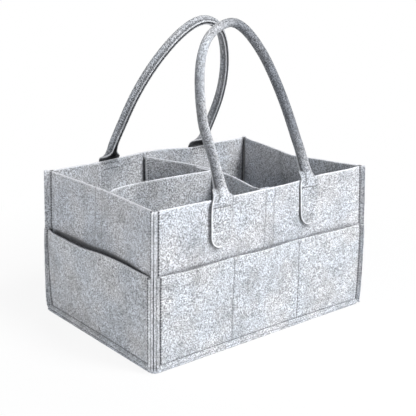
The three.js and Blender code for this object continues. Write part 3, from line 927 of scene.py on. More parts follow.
rounding.width = BASE_ROUNDING * MM
rounding.segments = 3
rounding.limit_method = "ANGLE"
rounding.angle_limit = SHARP_EDGE
bpy.ops.object.modifier_apply(modifier="rounding")
base.data.materials.append(BODY_FELT)
bpy.ops.object.shade_smooth_by_angle(angle=SHARP_EDGE)
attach(base, "root")
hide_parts("base_panel")

# Seams of the body. Bay seams show inside the box too, where the wall's column is found
# in a row well above the bottom seam.
ROW_TO_MATCH = 30
corner_runs = []
for side in SIDES:
    wall, pocket = walls[side], pockets[side]
    for column in (STITCH_COLUMN, -1 - STITCH_COLUMN):
        above = wall["rows"] > POCKET_HEIGHT + 0.5
        corner_runs.append((wall["outer"][above, column], wall["normal"][above, column]))
        below = pocket["rows"] > BOTTOM_STITCH + 1
        corner_runs.append((pocket["outer"][below, column], pocket["normal"][below, column]))
stitches(
    "corner_seam_thread", corner_runs, "root", pitch=3.3, length=2.6, radius=0.8,
    material=SHADE_DARK_THREAD, seed=5,
)

bottom_runs = []
for pocket in pockets.values():
    row = int(np.argmin(np.abs(pocket["rows"] - BOTTOM_STITCH)))
    span = slice(FLANGE_COUNT, -FLANGE_COUNT)
    bottom_runs.append((pocket["outer"][row, span], pocket["normal"][row, span]))
stitches("bottom_seam_thread", bottom_runs, "root", seed=6, material=SHADE_DARK_THREAD)

bay_runs = []
for side in ("front", "rear"):
    wall, pocket = walls[side], pockets[side]
    for column in pocket["columns"]:
        up = pocket["rows"] > BOTTOM_STITCH + 1.5
        bay_runs.append((pocket["outer"][up, column], pocket["normal"][up, column]))
        place = pocket["outer"][up, column][0]
        inside = int(np.argmin(np.abs(wall["inner"][ROW_TO_MATCH, :, 0] - place[0])))
        low = (wall["rows"] > BOTTOM_STITCH + 1.5) & (wall["rows"] < POCKET_HEIGHT - 1)
        bay_runs.append((wall["inner"][low, inside], -wall["normal"][low, inside]))
stitches("pocket_seam_thread", bay_runs, "root", seed=7, radius=0.22, material=SHADE_DARK_THREAD)

# ---------------------------------------------------------------- handles

LINE_STEP = 0.5
LINE_WINDOW = 31


def handle_line(handle):
    """The strip laid out flat: distances along it, places across and places up."""
    half = handle["spacing"] / 2
    angle = math.pi * (1 - np.linspace(0, 1, 1501))
    up = np.clip(np.sin(angle), 0, 1) ** (2 / handle["shoulder"])
    over = np.sign(np.cos(angle)) * np.abs(np.cos(angle)) ** (2 / handle["crown"])
    across = half * over * (1 + 4 * handle["spread"] * up * (1 - up))
    across = across + handle["sway"] * up ** handle["sway_power"]
    rise = ARCH_START + handle["rise"] * up * (1 + handle["tilt"] * over)
    x = np.concatenate([[-half, -half], across, [half, half]])
    y = np.concatenate([[-TAB_LENGTH, 0], rise, [0, -TAB_LENGTH]])
    travelled = travel(np.stack([x, y], -1))
    length = travelled[-1]
    at = np.linspace(0, length, int(length / LINE_STEP))
    x, y = np.interp(at, travelled, x), np.interp(at, travelled, y)
    window = np.hanning(LINE_WINDOW)
    window /= window.sum()
    pad = LINE_WINDOW // 2
    x = np.convolve(np.pad(x, pad, "edge"), window, "valid")
    middle = slice(pad, -pad)
    y[middle] = np.convolve(y, window, "same")[middle]
    return at, x, y


def handle_frames(handle, distances, line):
    """Points of the strip's middle line at distances along it, with the directions
    across the strip, inward and along it, for the front side."""
    at, x, y = line
    u = np.interp(distances, at, x)
    v = np.interp(distances, at, y)
    hx = np.interp(distances, at, np.gradient(x, at))
    hy = np.interp(distances, at, np.gradient(y, at))
    lean = math.radians(handle["lean"])
    bend_length = BEND_RADIUS * lean
    angle = np.clip((v - RISE_BEFORE_BEND) / BEND_RADIUS, 0, lean)
    upright = np.minimum(v, RISE_BEFORE_BEND)
    leaning = np.maximum(0, v - RISE_BEFORE_BEND - bend_length)
    inset = BEND_RADIUS * (1 - np.cos(angle)) + leaning * math.sin(lean)
    height = HINGE_HEIGHT + upright + BEND_RADIUS * np.sin(angle) + leaning * math.cos(lean)
    zero = np.zeros_like(angle)
    up = np.stack([zero, np.sin(angle), np.cos(angle)], -1)
    inward = np.stack([zero, np.cos(angle), -np.sin(angle)], -1)
    along = np.stack([hx, zero, zero], -1) + up * hy[:, None]
    along /= np.linalg.norm(along, axis=1, keepdims=True)
    across = np.cross(inward, along)
    side = handle["side"]
    place = handle["centre"] + u
    place = place + np.where(u > 0, leg_aside(handle, 1, height), leg_aside(handle, 0, height))
    shift = wall_shift(side, place, np.minimum(height, BODY_HEIGHT)) * (1 - smooth(v, 8, 45))
    out = STRAP_FACE + FELT / 2 - inset + shift
    return np.stack([place, -out, height], -1), across, inward, along


def rolled_share(handle, beyond_tab, leg, left_half):
    """How far one half of the strip has rolled up, from 0 to 1, beyond its tab."""
    at = beyond_tab + np.array(handle["sooner"])[np.asarray(leg, int), 0 if left_half else 1]
    return sum(part * smooth(at, start, end) for start, end, part in handle["roll"])


def rolled_half(share, places):
    """The strip's middle line at places out from its centre, when rolled by a share."""
    fine = np.linspace(0, STRAP_WIDTH / 2, 291)
    arc = ROLL_RADIUS * CLOSE_ANGLE
    from_middle = ROLL_RADIUS * math.sin(CLOSE_ANGLE) - (FELT + CLEARANCE) / 2
    closing = from_middle / abs(math.cos(CLOSE_ANGLE))
    heading = np.where(fine < arc, fine / ROLL_RADIUS, CLOSE_ANGLE)
    heading = np.where(fine > arc + closing, math.pi / 2, heading) * share
    step = fine[1] - fine[0]
    x = np.concatenate([[0], np.cumsum(np.cos((heading[1:] + heading[:-1]) / 2)) * step])
    y = np.concatenate([[0], np.cumsum(np.sin((heading[1:] + heading[:-1]) / 2)) * step])
    return np.interp(places, fine, x), np.interp(places, fine, y)


STRIP_PLACES = np.concatenate(
    [np.linspace(0, 9.5, 11), [10.2, 10.9, 11.6, 12.1, 12.6, 13.1, 13.6, 14.0, 14.3, 14.5]]
)
STRIP_ACROSS = np.concatenate([-STRIP_PLACES[:0:-1], STRIP_PLACES])
END_PLACES = [0.15, 0.6, 1.3, 2.3, 3.6, 5.2, 7.2, 9.6, 12.5]
HINGE_PLACES = [42.6, 43.4, 44.2, 45.0, 45.8, 46.8, 48.2]
NECK_STEP, TUBE_STEP = 1.6, 3.0
FIN_PLACE = 10.6
# Shares of a handle's length at which its darkness is given
DARKNESS_PLACES = (0.0, 0.15, 0.35, 0.45, 0.55, 0.78, 0.9)
# How the edges of a tab curl off the wall: reach, lift of the left and the right edge,
# and where along the strip the curl ends
EDGE_CURL, CURL_POWER = 3.2, 1.5
CURL_LIFT = (2.5, 0.8)
CURL_END = (50, 58)
# Spans beyond a tab in which the necks are pinched, and in which they have a painted groove of
# shade
PINCH_SPAN = (3, 10), (15, 30)
PAINTED_GROOVE_SPAN = (2, 8), (40, 58)
# Dark lines of painted shade in the creases beside the fin's stitches, above a tab's upper row and
# in a groove
FIN_LINE, TAB_LINE, GROOVE_LINE = (0.85, 0.8), (0.8, 0.8), (0.8, 1.3)
# Places across the strip: where the painted shade of the hollow beside the fin deepens, and the
# fin's edge
HOLLOW, FIN_EDGE = (8.8, 10.4), (12.3, 13.3)


def strip_distances(total):
    """Distances along a strip, closer together at its ends, hinges and necks."""
    near = END_PLACES + np.arange(15.5, 42, 3).tolist() + HINGE_PLACES
    near += np.arange(near[-1] + NECK_STEP, TAB_LENGTH + CORE_START + 4, NECK_STEP).tolist()
    middle = np.linspace(near[-1], total - near[-1], int((total - 2 * near[-1]) / TUBE_STEP))
    return np.concatenate([near, middle[1:-1], [total - d for d in reversed(near)]])


def strip_grid(handle, distances, line, low_shares, high_shares):
    """Middle points of a strip, rolled up by a share for each half of its width."""
    side, total = handle["side"], line[0][-1]
    point, across, inward, _ = handle_frames(handle, distances, line)
    grid = []
    for i, distance in enumerate(distances):
        leg = int(distance > total / 2)
        from_end = min(distance, total - distance)
        beyond_tab = from_end - TAB_LENGTH
        width = tab_half_width(from_end) / (STRAP_WIDTH / 2)
        near_edge = np.minimum((STRAP_WIDTH / 2 - STRIP_PLACES) * width, from_end)
        curl = np.clip(1 - near_edge / EDGE_CURL, 0, 1) ** CURL_POWER
        curl = curl * (1 - smooth(from_end, *CURL_END))
        pinch = plateau(beyond_tab, *PINCH_SPAN)
        dents = [(CURL_LIFT[0], pinch * handle["pinch"][leg]), (CURL_LIFT[1], 0)]
        halves = []
        for share, (lift, narrower) in zip(
            (low_shares[i], high_shares[i]), reversed(dents) if leg else dents
        ):
            x, y = rolled_half(float(share), STRIP_PLACES)
            halves.append((x * width * (1 - narrower), y - lift * curl))
        (low_x, low_y), (high_x, high_y) = halves
        flat_x = np.concatenate([-low_x[:0:-1], high_x])
        flat_y = np.concatenate([low_y[:0:-1], high_y])
        spot = point[i] + across[i] * flat_x[:, None] + inward[i] * flat_y[:, None]
        height = min(point[i][2], BODY_HEIGHT)
        here = wall_shift(side, point[i][0], height)
        on_wall = 1 - smooth(beyond_tab, 8, 26)
        spot[:, 1] -= (wall_shift(side, point[i][0] + flat_x, height) - here) * on_wall
        grid.append(spot)
    return turned(np.array(grid), SIDES[side]["turn"])


def strip_marks(handle, distances, total):
    """Where a strip has dark lines and painted shade, where it is darker along its length,
    and where painted light makes it pale, row by row along it.
    """
    places = np.abs(STRIP_ACROSS)[None]
    distances = distances[:, None]
    from_end = np.minimum(distances, total - distances)
    beyond_tab = from_end - TAB_LENGTH
    leg = distances > total / 2

    # Painted shade in the creases beside the stitches of the fin and above the upper row of the
    # tabs
    on_fin = smooth(beyond_tab, FIN_START - 12, FIN_START + 6)
    sewn = on_fin * hump(places, FIN_PLACE + 1.1, FIN_LINE)
    above_row = hump(from_end, TAB_LENGTH - (HINGE_HEIGHT - TAB_TOP_ROW) + 1.3, TAB_LINE)
    sewn = np.maximum(sewn, above_row * (places < 13))

    # Darker at places along the strip, and painted shade on the side of the left leg that faces
    # away from the light
    darkness = np.interp(distances / total, DARKNESS_PLACES, handle["darkness"]) * smooth(beyond_tab, 8, 30)
    on_left = (1 - smooth(distances / total, 0.3, 0.42)) * smooth(beyond_tab, 14, 28)
    shaded = handle["shaded"] * on_left * smooth(-STRIP_ACROSS, -2.5, 3.5)[None]
    darkness = darkness + (1 - darkness) * shaded

    # Painted shade in the hollow beside the fin, and at the left of the necks painted shade in a
    # groove and painted light on a pale flap
    low = handle["painted_groove"] * (1 - smooth(beyond_tab, 38, 55))
    underside = smooth(places + low, *HOLLOW) * smooth(beyond_tab, 8, 24)
    underside = underside * (1 - 0.9 * smooth(places + low, *FIN_EDGE))
    neck = plateau(beyond_tab, *PAINTED_GROOVE_SPAN)
    neck = neck * (np.where(leg, STRIP_ACROSS, -STRIP_ACROSS) > 0) * (handle["painted_groove"] > 0)
    groove_at = 6.0 + 3.0 * smooth(beyond_tab, 10, 26)
    flap = smooth(places, groove_at + 2.2, groove_at + 3.2) * neck * smooth(beyond_tab, 15, 21)
    sewn = np.maximum(sewn, hump(places, groove_at, GROOVE_LINE) * neck)
    handled = darkness * (1 - 0.7 * smooth(places, *FIN_EDGE)) * (1 - 0.8 * flap)
    handled = handled + (1 - handled) * underside

    # The inner face: painted shade in the rolled part and under the edges of the tabs
    hollow = smooth(beyond_tab, 4, 10)
    edge_gap = tab_half_width(from_end) * (1 - places / (STRAP_WIDTH / 2))
    under_edge = (1 - smooth(np.minimum(edge_gap, from_end), 1.5, 5)) * (1 - hollow)
    return {
        "painted_light": 0.85 * flap,
        "sewn": (sewn, np.maximum(sewn, 0.85 * hollow) + under_edge),
        "handled": (handled, np.maximum(handled, hollow)),
    }


handle_parts = {}
for name, handle in HANDLES.items():
    line = handle_line(handle)
    total = line[0][-1]
    distances = strip_distances(total)
    beyond_tab = np.minimum(distances, total - distances) - TAB_LENGTH
    leg = distances > total / 2
    halves = [rolled_share(handle, beyond_tab, leg, is_left) for is_left in (True, False)]
    low_shares, high_shares = np.where(leg, halves[::-1], halves)
    piece = felt_sheet(
        f"{name}_felt", strip_grid(handle, distances, line, low_shares, high_shares), HANDLE_FELT,
        pale=(1 - 0.25 * (low_shares + high_shares) / 2)[:, None],
        **strip_marks(handle, distances, total),
    )["piece"]
    handle_parts[name] = {"piece": piece, "total": total, "line": line}
    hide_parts(f"{name}_strap", f"{name}_left_tab", f"{name}_right_tab")

# ---------------------------------------------------------------- dividers and tapes

DIVIDER_TOP = BODY_HEIGHT - 2.0
FLANGE = 26.0
TAPE = 1.1
TAPE_WIDTH = 20.0
TAPE_BOTTOM = 14.0
TAPE_TOP = DIVIDER_TOP - 7.0
TAPE_STACK = 2 * TAPE + 3 * CLEARANCE
FLANGE_Y = HALF_DEPTH - FELT - TAPE_STACK - FELT / 2
CROSS_FRONT_X, CROSS_REAR_X, CROSS_SWELL = -9.5, -17.0, 24.0
LONG_START_Y, LONG_END_Y, LONG_SWELL, LONG_SKEW = -11.0, -2.0, 11.0, 0.55
LONG_FLANGE_X = -(HALF_LENGTH - FELT - 5.0 - TAPE_STACK - FELT / 2)
BESIDE_CROSS = FELT + TAPE_STACK


def cross_point(share, moved=0.0):
    """A place on the cross divider's plan line, from its rear end at 0 to its front end
    at 1, or moved to one side of the line."""

    def point(at):
        straight = CROSS_REAR_X + (CROSS_FRONT_X - CROSS_REAR_X) * at
        swell = CROSS_SWELL * math.sin(math.pi * at)
        return np.array([straight + swell, FLANGE_Y - 2 * FLANGE_Y * at])

    heading = point(share + 0.01) - point(share - 0.01)
    heading /= np.linalg.norm(heading)
    return point(share) + np.array([heading[1], -heading[0]]) * moved


def cross_share(y):
    """Where on the cross divider's line a place along y is."""
    return (FLANGE_Y - y) / (2 * FLANGE_Y)


CUT_PLACES = [0.35, 0.9]


def rounded(points, radius, spacing=4.0):
    """A plan line with its sharp folds rounded, at about even spacing, and two more
    places near each cut end."""
    points = [np.array(p, float) for p in points]
    line = [points[0]]
    for before, here, after in zip(points, points[1:], points[2:]):
        arriving, leaving = here - before, after - here
        la, ll = np.linalg.norm(arriving), np.linalg.norm(leaving)
        turn = math.acos(np.clip(arriving @ leaving / la / ll, -1, 1))
        if turn < 0.5:
            line.append(here)
            continue
        reach = min(radius, la * 0.45, ll * 0.45)
        start, finish = here - arriving / la * reach, here + leaving / ll * reach
        line += [curve(start, here, finish, t) for t in (0, 0.25, 0.5, 0.75, 1)]
    line.append(points[-1])
    fine = [line[0]]
    for a, b in zip(line, line[1:]):
        count = max(1, int(round(np.linalg.norm(b - a) / spacing)))
        fine += [a + (b - a) * (k + 1) / count for k in range(count)]
    forward = (fine[1] - fine[0]) / np.linalg.norm(fine[1] - fine[0])
    back = (fine[-2] - fine[-1]) / np.linalg.norm(fine[-2] - fine[-1])
    near_first = [fine[0] + forward * e for e in CUT_PLACES]
    near_last = [fine[-1] + back * e for e in reversed(CUT_PLACES)]
    return np.array([fine[0], *near_first, *fine[1:-1], *near_last, fine[-1]])


def upright_sheet(
    name, plan, bottom, top, material, thickness, lift=None, pale=None, painted_light=None
):
    """A sheet that stands on a plan line. lift moves its points, and from them are worked
    out how much of the painted highlight of its cut edges shows and where it has painted light."""
    rows = edged(bottom, top, [0, *CUT_PLACES], 3, max(3, int((top - bottom) / 5.0)))
    grid = np.array([[(p[0], p[1], z) for p in plan] for z in rows], float)
    if lift is not None:
        grid = lift(grid)
    sheet = felt_sheet(
        name, grid, material, thickness=thickness, pale=pale(grid) if pale else 1.0,
        painted_light=painted_light(grid) if painted_light else 0.0,
    )
    return {**sheet, "rows": rows, "plan": plan}


def follow_walls(grid):
    """Moves points that lie against a wall by as much as the wall has moved."""
    grid = grid.copy()
    x, y, z = grid[..., 0], grid[..., 1], grid[..., 2]
    for side, sign in (("front", -1), ("rear", 1)):
        close = smooth(sign * y - FLANGE_Y, -45, -4)
        grid[..., 1] += sign * close * wall_shift(side, -sign * x, z)
    return grid


def cross_shape(grid):
    """The cross divider stands a little higher at the front, where its end is folded."""
    grid = follow_walls(grid)
    at_front = smooth(-grid[..., 1], FLANGE_Y - 14, FLANGE_Y - 1)
    at_front = at_front * (1 - smooth(grid[..., 0], CROSS_FRONT_X + 12, CROSS_FRONT_X + 19))
    grid[..., 2] += 1.8 * at_front * smooth(grid[..., 2], 120, DIVIDER_TOP)
    return grid


FOLD_RADIUS = 3.0
FOLD_STITCH = cross_point(4.6 / (2 * FLANGE_Y))
cross_plan = [np.array([CROSS_REAR_X + FLANGE, FLANGE_Y]), cross_point(0), FOLD_STITCH]
cross_plan += [cross_point(i / 32) for i in range(1, 33)]
cross_plan += [np.array([CROSS_FRONT_X + FLANGE, -FLANGE_Y])]
cross = upright_sheet(
    "cross_divider_felt", rounded(cross_plan, FOLD_RADIUS), WALL_BOTTOM, DIVIDER_TOP,
    DIVIDER_FELT, FELT, cross_shape,
    pale=lambda grid: 1 - 0.85 * smooth(np.abs(grid[..., 1]), FLANGE_Y - 3, FLANGE_Y),
    # Painted light on the ridge of the fold, which lies in shade
    painted_light=lambda grid: 1.3 * bell(grid[..., 1], FLANGE_Y - 2.0, 1.7) * (grid[..., 0] < 0),
)
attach(cross["piece"], "cross_divider")
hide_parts("cross_divider")

long_end = cross_point(cross_share(LONG_END_Y), BESIDE_CROSS)
long_start = np.array([LONG_FLANGE_X, LONG_START_Y])
long_plan = [long_start + [0, FLANGE]]
for share in np.arange(24) / 24:
    swell = LONG_SWELL * math.sin(math.pi * share**LONG_SKEW)
    long_plan.append(long_start + (long_end - long_start) * share + [0, swell])
for i in range(9):
    y = LONG_END_Y + FLANGE * i / 8
    long_plan.append(cross_point(cross_share(y), BESIDE_CROSS))
long = upright_sheet(
    "long_divider_felt", rounded(long_plan, FOLD_RADIUS), WALL_BOTTOM, DIVIDER_TOP,
    DIVIDER_FELT, FELT,
    pale=lambda grid: 0.15 + 0.85 * smooth(grid[..., 0], LONG_FLANGE_X, LONG_FLANGE_X + 3),
)
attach(long["piece"], "long_divider")
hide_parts("long_divider")


def wall_tape(name, side, centre):
    """A tape stitched on the inside of a wall, which follows the wall's shape."""
    along = centre + TAPE_WIDTH * np.array([-0.5, -0.48, -0.45, -0.2, 0, 0.2, 0.45, 0.48, 0.5])
    rows = edged(TAPE_BOTTOM, TAPE_TOP, [0, 0.4, 1], 4, 30)
    face = SIDES[side]["face"] - (FELT + CLEARANCE + TAPE / 2)
    grid = [
        np.stack([along, -(face + wall_shift(side, along, z)), np.full_like(along, z)], -1)
        for z in rows
    ]
    grid = turned(np.array(grid), SIDES[side]["turn"])
    piece = felt_sheet(f"{name}_piece", grid, LOOP_TAPE, thickness=TAPE)["piece"]
    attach(piece, "root")
    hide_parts(name)


def flange_tape(name, plan, material, body, lift=None):
    """A tape stitched on a divider, over a plan line of its own."""
    line = rounded(plan, 1.0, spacing=5.0)
    sheet = upright_sheet(f"{name}_piece", line, TAPE_BOTTOM, TAPE_TOP, material, TAPE, lift)
    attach(sheet["piece"], body)
    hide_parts(name)


def beside_plan(moved):
    """Plan line of a tape at the long divider's end, beside the cross divider."""
    start = LONG_END_Y + (FLANGE - TAPE_WIDTH) / 2
    return [cross_point(cross_share(start + TAPE_WIDTH * i / 6), moved) for i in range(7)]


front_tape_x = CROSS_FRONT_X + FLANGE / 2
rear_tape_x = CROSS_REAR_X + FLANGE / 2
left_tape_y = LONG_START_Y + FLANGE / 2
wall_tape("front_wall_loop_tape", "front", front_tape_x)
wall_tape("rear_wall_loop_tape", "rear", -rear_tape_x)
wall_tape("left_wall_loop_tape", "left", -left_tape_y)

TAPE_OFF = FELT / 2 + CLEARANCE + TAPE / 2
HALF_TAPE = TAPE_WIDTH / 2
for end, x, y in (("front", front_tape_x, -1), ("rear", rear_tape_x, 1)):
    y *= FLANGE_Y + TAPE_OFF
    flange_tape(
        f"cross_divider_{end}_hook_tape", [(x - HALF_TAPE, y), (x + HALF_TAPE, y)], HOOK_TAPE,
        "cross_divider", follow_walls,
    )
tape_x = LONG_FLANGE_X - TAPE_OFF
flange_tape(
    "long_divider_left_hook_tape",
    [(tape_x, left_tape_y - HALF_TAPE), (tape_x, left_tape_y + HALF_TAPE)],
    HOOK_TAPE, "long_divider",
)
flange_tape("cross_divider_loop_tape", beside_plan(TAPE_OFF), LOOP_TAPE, "cross_divider")
flange_tape(
    "long_divider_right_hook_tape", beside_plan(TAPE_OFF + TAPE + CLEARANCE), HOOK_TAPE,
    "long_divider",
)

# ---------------------------------------------------------------- handle threads and fillers


def strip_surface(name, distances, place):
    """Points and normals on the outer face of a handle strip, at distances along it and
    one place across."""
    handle, part = HANDLES[name], handle_parts[name]
    point, across, inward, _ = handle_frames(handle, distances, part["line"])
    beyond_tab = np.minimum(distances, part["total"] - distances) - TAB_LENGTH
    leg = distances > part["total"] / 2
    sign = 1 if place >= 0 else -1
    found, normals = [], []
    for i in range(len(distances)):
        share = rolled_share(handle, beyond_tab[i], leg[i], leg[i] == (place >= 0))
        x, y = rolled_half(float(share), abs(place) + np.array([-0.1, 0, 0.1]))
        slope = np.array([x[2] - x[0], y[2] - y[0]])
        slope /= np.linalg.norm(slope)
        out = across[i] * slope[1] * sign - inward[i] * slope[0]
        found.append(point[i] + across[i] * x[1] * sign + inward[i] * y[1] + out * FELT / 2)
        normals.append(out)
    turn = SIDES[handle["side"]]["turn"]
    return turned(np.array(found), turn), turned(np.array(normals), turn)


def wall_run(side, centre, shape, out, facing_out):
    """A run of stitches on a wall, at places across and up given from a centre."""
    points = np.stack([centre + shape[:, 0], -out, shape[:, 1]], -1)
    normals = np.zeros_like(points)
    normals[:, 1] = facing_out
    turn = SIDES[side]["turn"]
    return turned(points, turn), turned(normals, turn)


TAB_STITCH_INSET = 2.6


def tab_outline():
    """The stitches of a tab down one edge, round its end and up the other."""
    edge, radius = STRAP_WIDTH / 2 - TAB_STITCH_INSET, TAB_END_RADIUS - TAB_STITCH_INSET
    round_middle = HINGE_HEIGHT - TAB_LENGTH + TAB_END_RADIUS
    angles = math.pi * (1 + np.arange(1, 16) / 16)
    end = [(edge * math.cos(a), round_middle + radius * math.sin(a)) for a in angles]
    left = [(-edge, TAB_TOP_ROW), (-edge, round_middle)]
    return [*left, *end, (edge, round_middle), (edge, TAB_TOP_ROW)]


CORE_SIDES, CORE_RINGS = 12, 130
CORE_END = 0.55
across_tab = np.linspace(STRAP_WIDTH / 2 - TAB_STITCH_INSET, TAB_STITCH_INSET - STRAP_WIDTH / 2, 9)
top_row = [(x, TAB_TOP_ROW) for x in across_tab]
inner_row = [(x, TAB_TOP_ROW + 7.0) for x in across_tab]

for name, handle in HANDLES.items():
    part = handle_parts[name]
    total = part["total"]
    side, turn = handle["side"], SIDES[handle["side"]]["turn"]
    fin_start = TAB_LENGTH + FIN_START
    run = np.linspace(fin_start, total - fin_start, 260)
    stitches(
        f"{name}_fin_thread", [strip_surface(name, run, FIN_PLACE * s) for s in (1, -1)], name,
        pitch=3.4, length=2.5, radius=0.5, material=SHADE_GREY_THREAD, seed=8,
    )
    tab_runs, top_runs, inner_runs = [], [], []
    for leg in (0, 1):
        centre = handle["centre"] + (leg - 0.5) * handle["spacing"]
        for shape, on_tab, on_wall in (
            (tab_outline(), tab_runs, tab_runs), (top_row, top_runs, inner_runs),
            (inner_row, None, inner_runs),
        ):
            shape = np.array(shape, float)
            shape[:, 0] += leg_aside(handle, leg, shape[:, 1])
            shift = wall_shift(side, centre + shape[:, 0], shape[:, 1])
            if on_tab is not None:
                on_tab.append(wall_run(side, centre, shape, STRAP_FACE + FELT + shift, -1.0))
            on_wall.append(wall_run(side, centre, shape, SIDES[side]["face"] - FELT + shift, 1.0))
    stitches(
        f"{name}_tab_thread", tab_runs, "root", pitch=3.3, length=2.4, radius=0.34,
        material=SHADE_GREY_THREAD, seed=9,
    )
    stitches(
        f"{name}_top_tab_thread", top_runs, "root", pitch=3.3, length=2.6, radius=0.55,
        material=PALE_THREAD, seed=14,
    )
    stitches(
        f"{name}_inner_tab_thread", inner_runs, "root", pitch=3.3, length=2.6, radius=0.5,
        material=SHADE_DARK_THREAD, seed=13,
    )

    core_start = TAB_LENGTH + CORE_START
    core_distances = np.linspace(core_start, total - core_start, CORE_RINGS)
    point, across, inward, _ = handle_frames(handle, core_distances, part["line"])
    centres = turned(point + inward * ROLL_RADIUS, turn)
    across, inward = turned(across, turn), turned(inward, turn)
    wide = [CORE_RADIUS * (CORE_END if i in (0, CORE_RINGS - 1) else 1) for i in range(CORE_RINGS)]
    vertices = []
    for values in zip(centres, across, inward, wide):
        vertices += ring(*values, CORE_SIDES)
    faces = tube_faces(0, CORE_RINGS, CORE_SIDES)
    filler = new_object(f"{name}_filler", vertices, faces, FILLER_FELT)
    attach(filler, name)
    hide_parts(f"{name}_core")

# Threads that hold the tapes on the walls and flanges
tape_runs = []
heights = np.linspace(TAPE_BOTTOM + 2, TAPE_TOP - 2, 60)
above = heights > POCKET_HEIGHT + 1
for side, places in WALL_LINES.items():
    face = SIDES[side]["face"]
    for place in places:
        row = np.stack([np.full_like(heights, place), heights], -1)
        shift = wall_shift(side, row[:, 0], heights)
        on_tape = face - FELT - CLEARANCE - TAPE + shift
        tape_runs.append(wall_run(side, 0, row[above], (face + shift)[above], -1.0))
        tape_runs.append(wall_run(side, 0, row, on_tape, 1.0))
stitches("wall_tape_thread", tape_runs, "root", seed=10, radius=0.3)

FELT_ROWS, TAPE_ROWS = (5, 176), (16, 169)


def divider_run(sheet, place, low_and_high):
    """Stitches up both faces of a divider, at the column nearest to a place of its plan."""
    column = int(np.argmin(np.linalg.norm(sheet["plan"] - np.asarray(place), axis=1)))
    low, high = low_and_high
    rows = (sheet["rows"] > low) & (sheet["rows"] < high)
    normal = sheet["normal"][rows, column]
    return [(sheet["outer"][rows, column], normal), (sheet["inner"][rows, column], -normal)]


cross_runs, long_runs = [], []
for place in ((CROSS_REAR_X + 1.2, FLANGE_Y - 3.0), (CROSS_FRONT_X + 3.2, -FLANGE_Y + 4.5)):
    cross_runs += divider_run(cross, place, FELT_ROWS)
for x, y in ((rear_tape_x, FLANGE_Y), (front_tape_x, -FLANGE_Y)):
    for aside in (-HALF_TAPE + 2, HALF_TAPE - 2):
        cross_runs += divider_run(cross, (x + aside, y), TAPE_ROWS)
stitches(
    "cross_divider_fold_thread", divider_run(cross, FOLD_STITCH, FELT_ROWS), "cross_divider",
    pitch=3.3, length=2.1, radius=0.95, material=SHADE_DARK_THREAD, seed=15,
)
stitches(
    "cross_divider_thread", cross_runs, "cross_divider", pitch=3.4, radius=0.85,
    material=PALE_THREAD, seed=11,
)
for place in ((LONG_FLANGE_X + 4.5, LONG_START_Y + 1.0), (long_end[0] - 4.5, long_end[1] + 0.8)):
    long_runs += divider_run(long, place, FELT_ROWS)
for aside in (-HALF_TAPE + 2, HALF_TAPE - 2):
    long_runs += divider_run(long, (LONG_FLANGE_X, left_tape_y + aside), TAPE_ROWS)
stitches(
    "long_divider_thread", long_runs, "long_divider", radius=0.5, material=PALE_THREAD, seed=12
)

# ---------------------------------------------------------------- handle strips baked in place

for name, handle in HANDLES.items():
    y = (-1 if handle["side"] == "front" else 1) * (STRAP_FACE + FELT) * MM
    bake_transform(handle_parts[name]["piece"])

# ---------------------------------------------------------------- the new mesh pieces

# A loop over the new mesh pieces, which skips each of them
for piece in bpy.data.objects:
    if piece.type != "MESH" or "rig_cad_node" in piece:
        continue

# ---------------------------------------------------------------- camera, floor and light

# The camera, fitted to the corners of the box in the photograph, in metres and degrees
CAMERA_PLACE = Vector((-0.679914, -0.823466, 0.450106))
CAMERA_FORWARD = Vector((0.611765, 0.737202, -0.286841)).normalized()
CAMERA_ROLL = math.radians(0.829233)
CAMERA_LENS = 77.9255

camera_data = bpy.data.cameras.new("camera")
camera_data.sensor_fit = "HORIZONTAL"
camera_data.sensor_width = 36
camera_data.lens = CAMERA_LENS
camera_data.clip_end = 60
camera = bpy.data.objects.new("camera", camera_data)
bpy.context.scene.collection.objects.link(camera)
right = CAMERA_FORWARD.cross(Vector((0, 0, 1))).normalized()
above = right.cross(CAMERA_FORWARD)
right, above = (
    right * math.cos(CAMERA_ROLL) + above * math.sin(CAMERA_ROLL),
    above * math.cos(CAMERA_ROLL) - right * math.sin(CAMERA_ROLL),
)
turn = Matrix((right, above, -CAMERA_FORWARD)).transposed().to_4x4()
camera.matrix_world = Matrix.Translation(CAMERA_PLACE) @ turn
bpy.context.scene.camera = camera

# The world lights the caddy faintly, and the camera sees it white
WHITE = (1, 1, 1, 1)
world = bpy.data.worlds.new("studio")
bpy.context.scene.world = world
n = Nodes(world)
sky = n.tree.nodes["Background"]
set_inputs(sky, Color=(0.94, 0.96, 1.0, 1), Strength=0.08)
backdrop = n.add("ShaderNodeBackground")
set_inputs(backdrop, Color=WHITE, Strength=1.0)
n.mix_shaders(n.seen_by_camera(), sky, backdrop, "World Output")

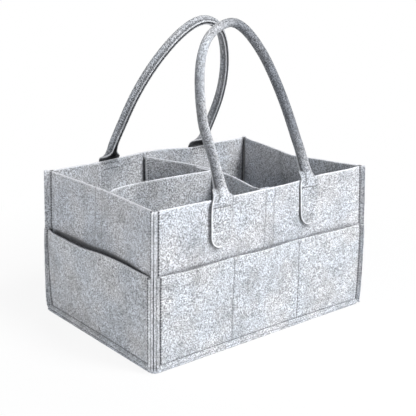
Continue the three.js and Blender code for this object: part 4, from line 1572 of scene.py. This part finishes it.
# The floor takes shadows near the caddy and goes over into the white backdrop
FLOOR_SIZE, FLOOR_LEVEL = 16, -0.0002
PALER_FROM, PALER_TO = 0.2, 0.55
GLOW_NEAR, GLOW_FAR = 0.9, 1.0
bpy.ops.object.select_all(action="DESELECT")
bpy.ops.mesh.primitive_plane_add(size=FLOOR_SIZE, location=(0, 0, FLOOR_LEVEL))
floor = bpy.context.object
floor.name = "floor"
n = MaterialNodes("pale_floor")
set_inputs(n.surface, Base_Color=(0.86, 0.86, 0.87, 1), Roughness=0.9, Specular_IOR_Level=0.0)
glow = n.add("ShaderNodeEmission")
set_inputs(glow, Color=WHITE, Strength=1.0)
away = n.add("ShaderNodeVectorMath", operation="LENGTH")
n.link(n.place, away.inputs[0])
paler = n.add("ShaderNodeMapRange")
set_inputs(
    paler, From_Min=PALER_FROM, From_Max=PALER_TO, To_Min=GLOW_NEAR, To_Max=GLOW_FAR
)
n.link(away.outputs["Value"], paler.inputs["Value"])
share = n.math("MULTIPLY", n.seen_by_camera(), paler.outputs["Result"])
n.mix_shaders(share, n.surface, glow, "Material Output")
floor.data.materials.append(n.data)

# Lamps stand round a point in the caddy: degrees to the right of its front, degrees
# above the floor, size and power
LIGHT_AIM = Vector((0, 0, 0.12))
LAMP_DISTANCE = 2.4
LAMPS = {
    "key": (25, 55, 0.7, 37),
    "front": (12, 32, 1.1, 32),
    "left_high": (-35, 46, 1.2, 5),
    "left_low": (-90, 8, 1.1, 20),
    "rear_low": (140, 10, 1.1, 18),
}
for name, (round_from_front, above_floor, size, power) in LAMPS.items():
    data = bpy.data.lights.new(name, "AREA")
    data.shape = "DISK"
    data.size = size
    data.energy = power
    turn, rise = math.radians(round_from_front), math.radians(above_floor)
    toward = Vector(
        (math.cos(rise) * math.sin(turn), -math.cos(rise) * math.cos(turn), math.sin(rise))
    )
    lamp = bpy.data.objects.new(name, data)
    bpy.context.scene.collection.objects.link(lamp)
    lamp.location = LIGHT_AIM + toward * LAMP_DISTANCE
    lamp.rotation_euler = (-toward).to_track_quat("-Z", "Y").to_euler()
    lamp.visible_camera = False

bpy.context.scene.view_settings.view_transform = "Standard"
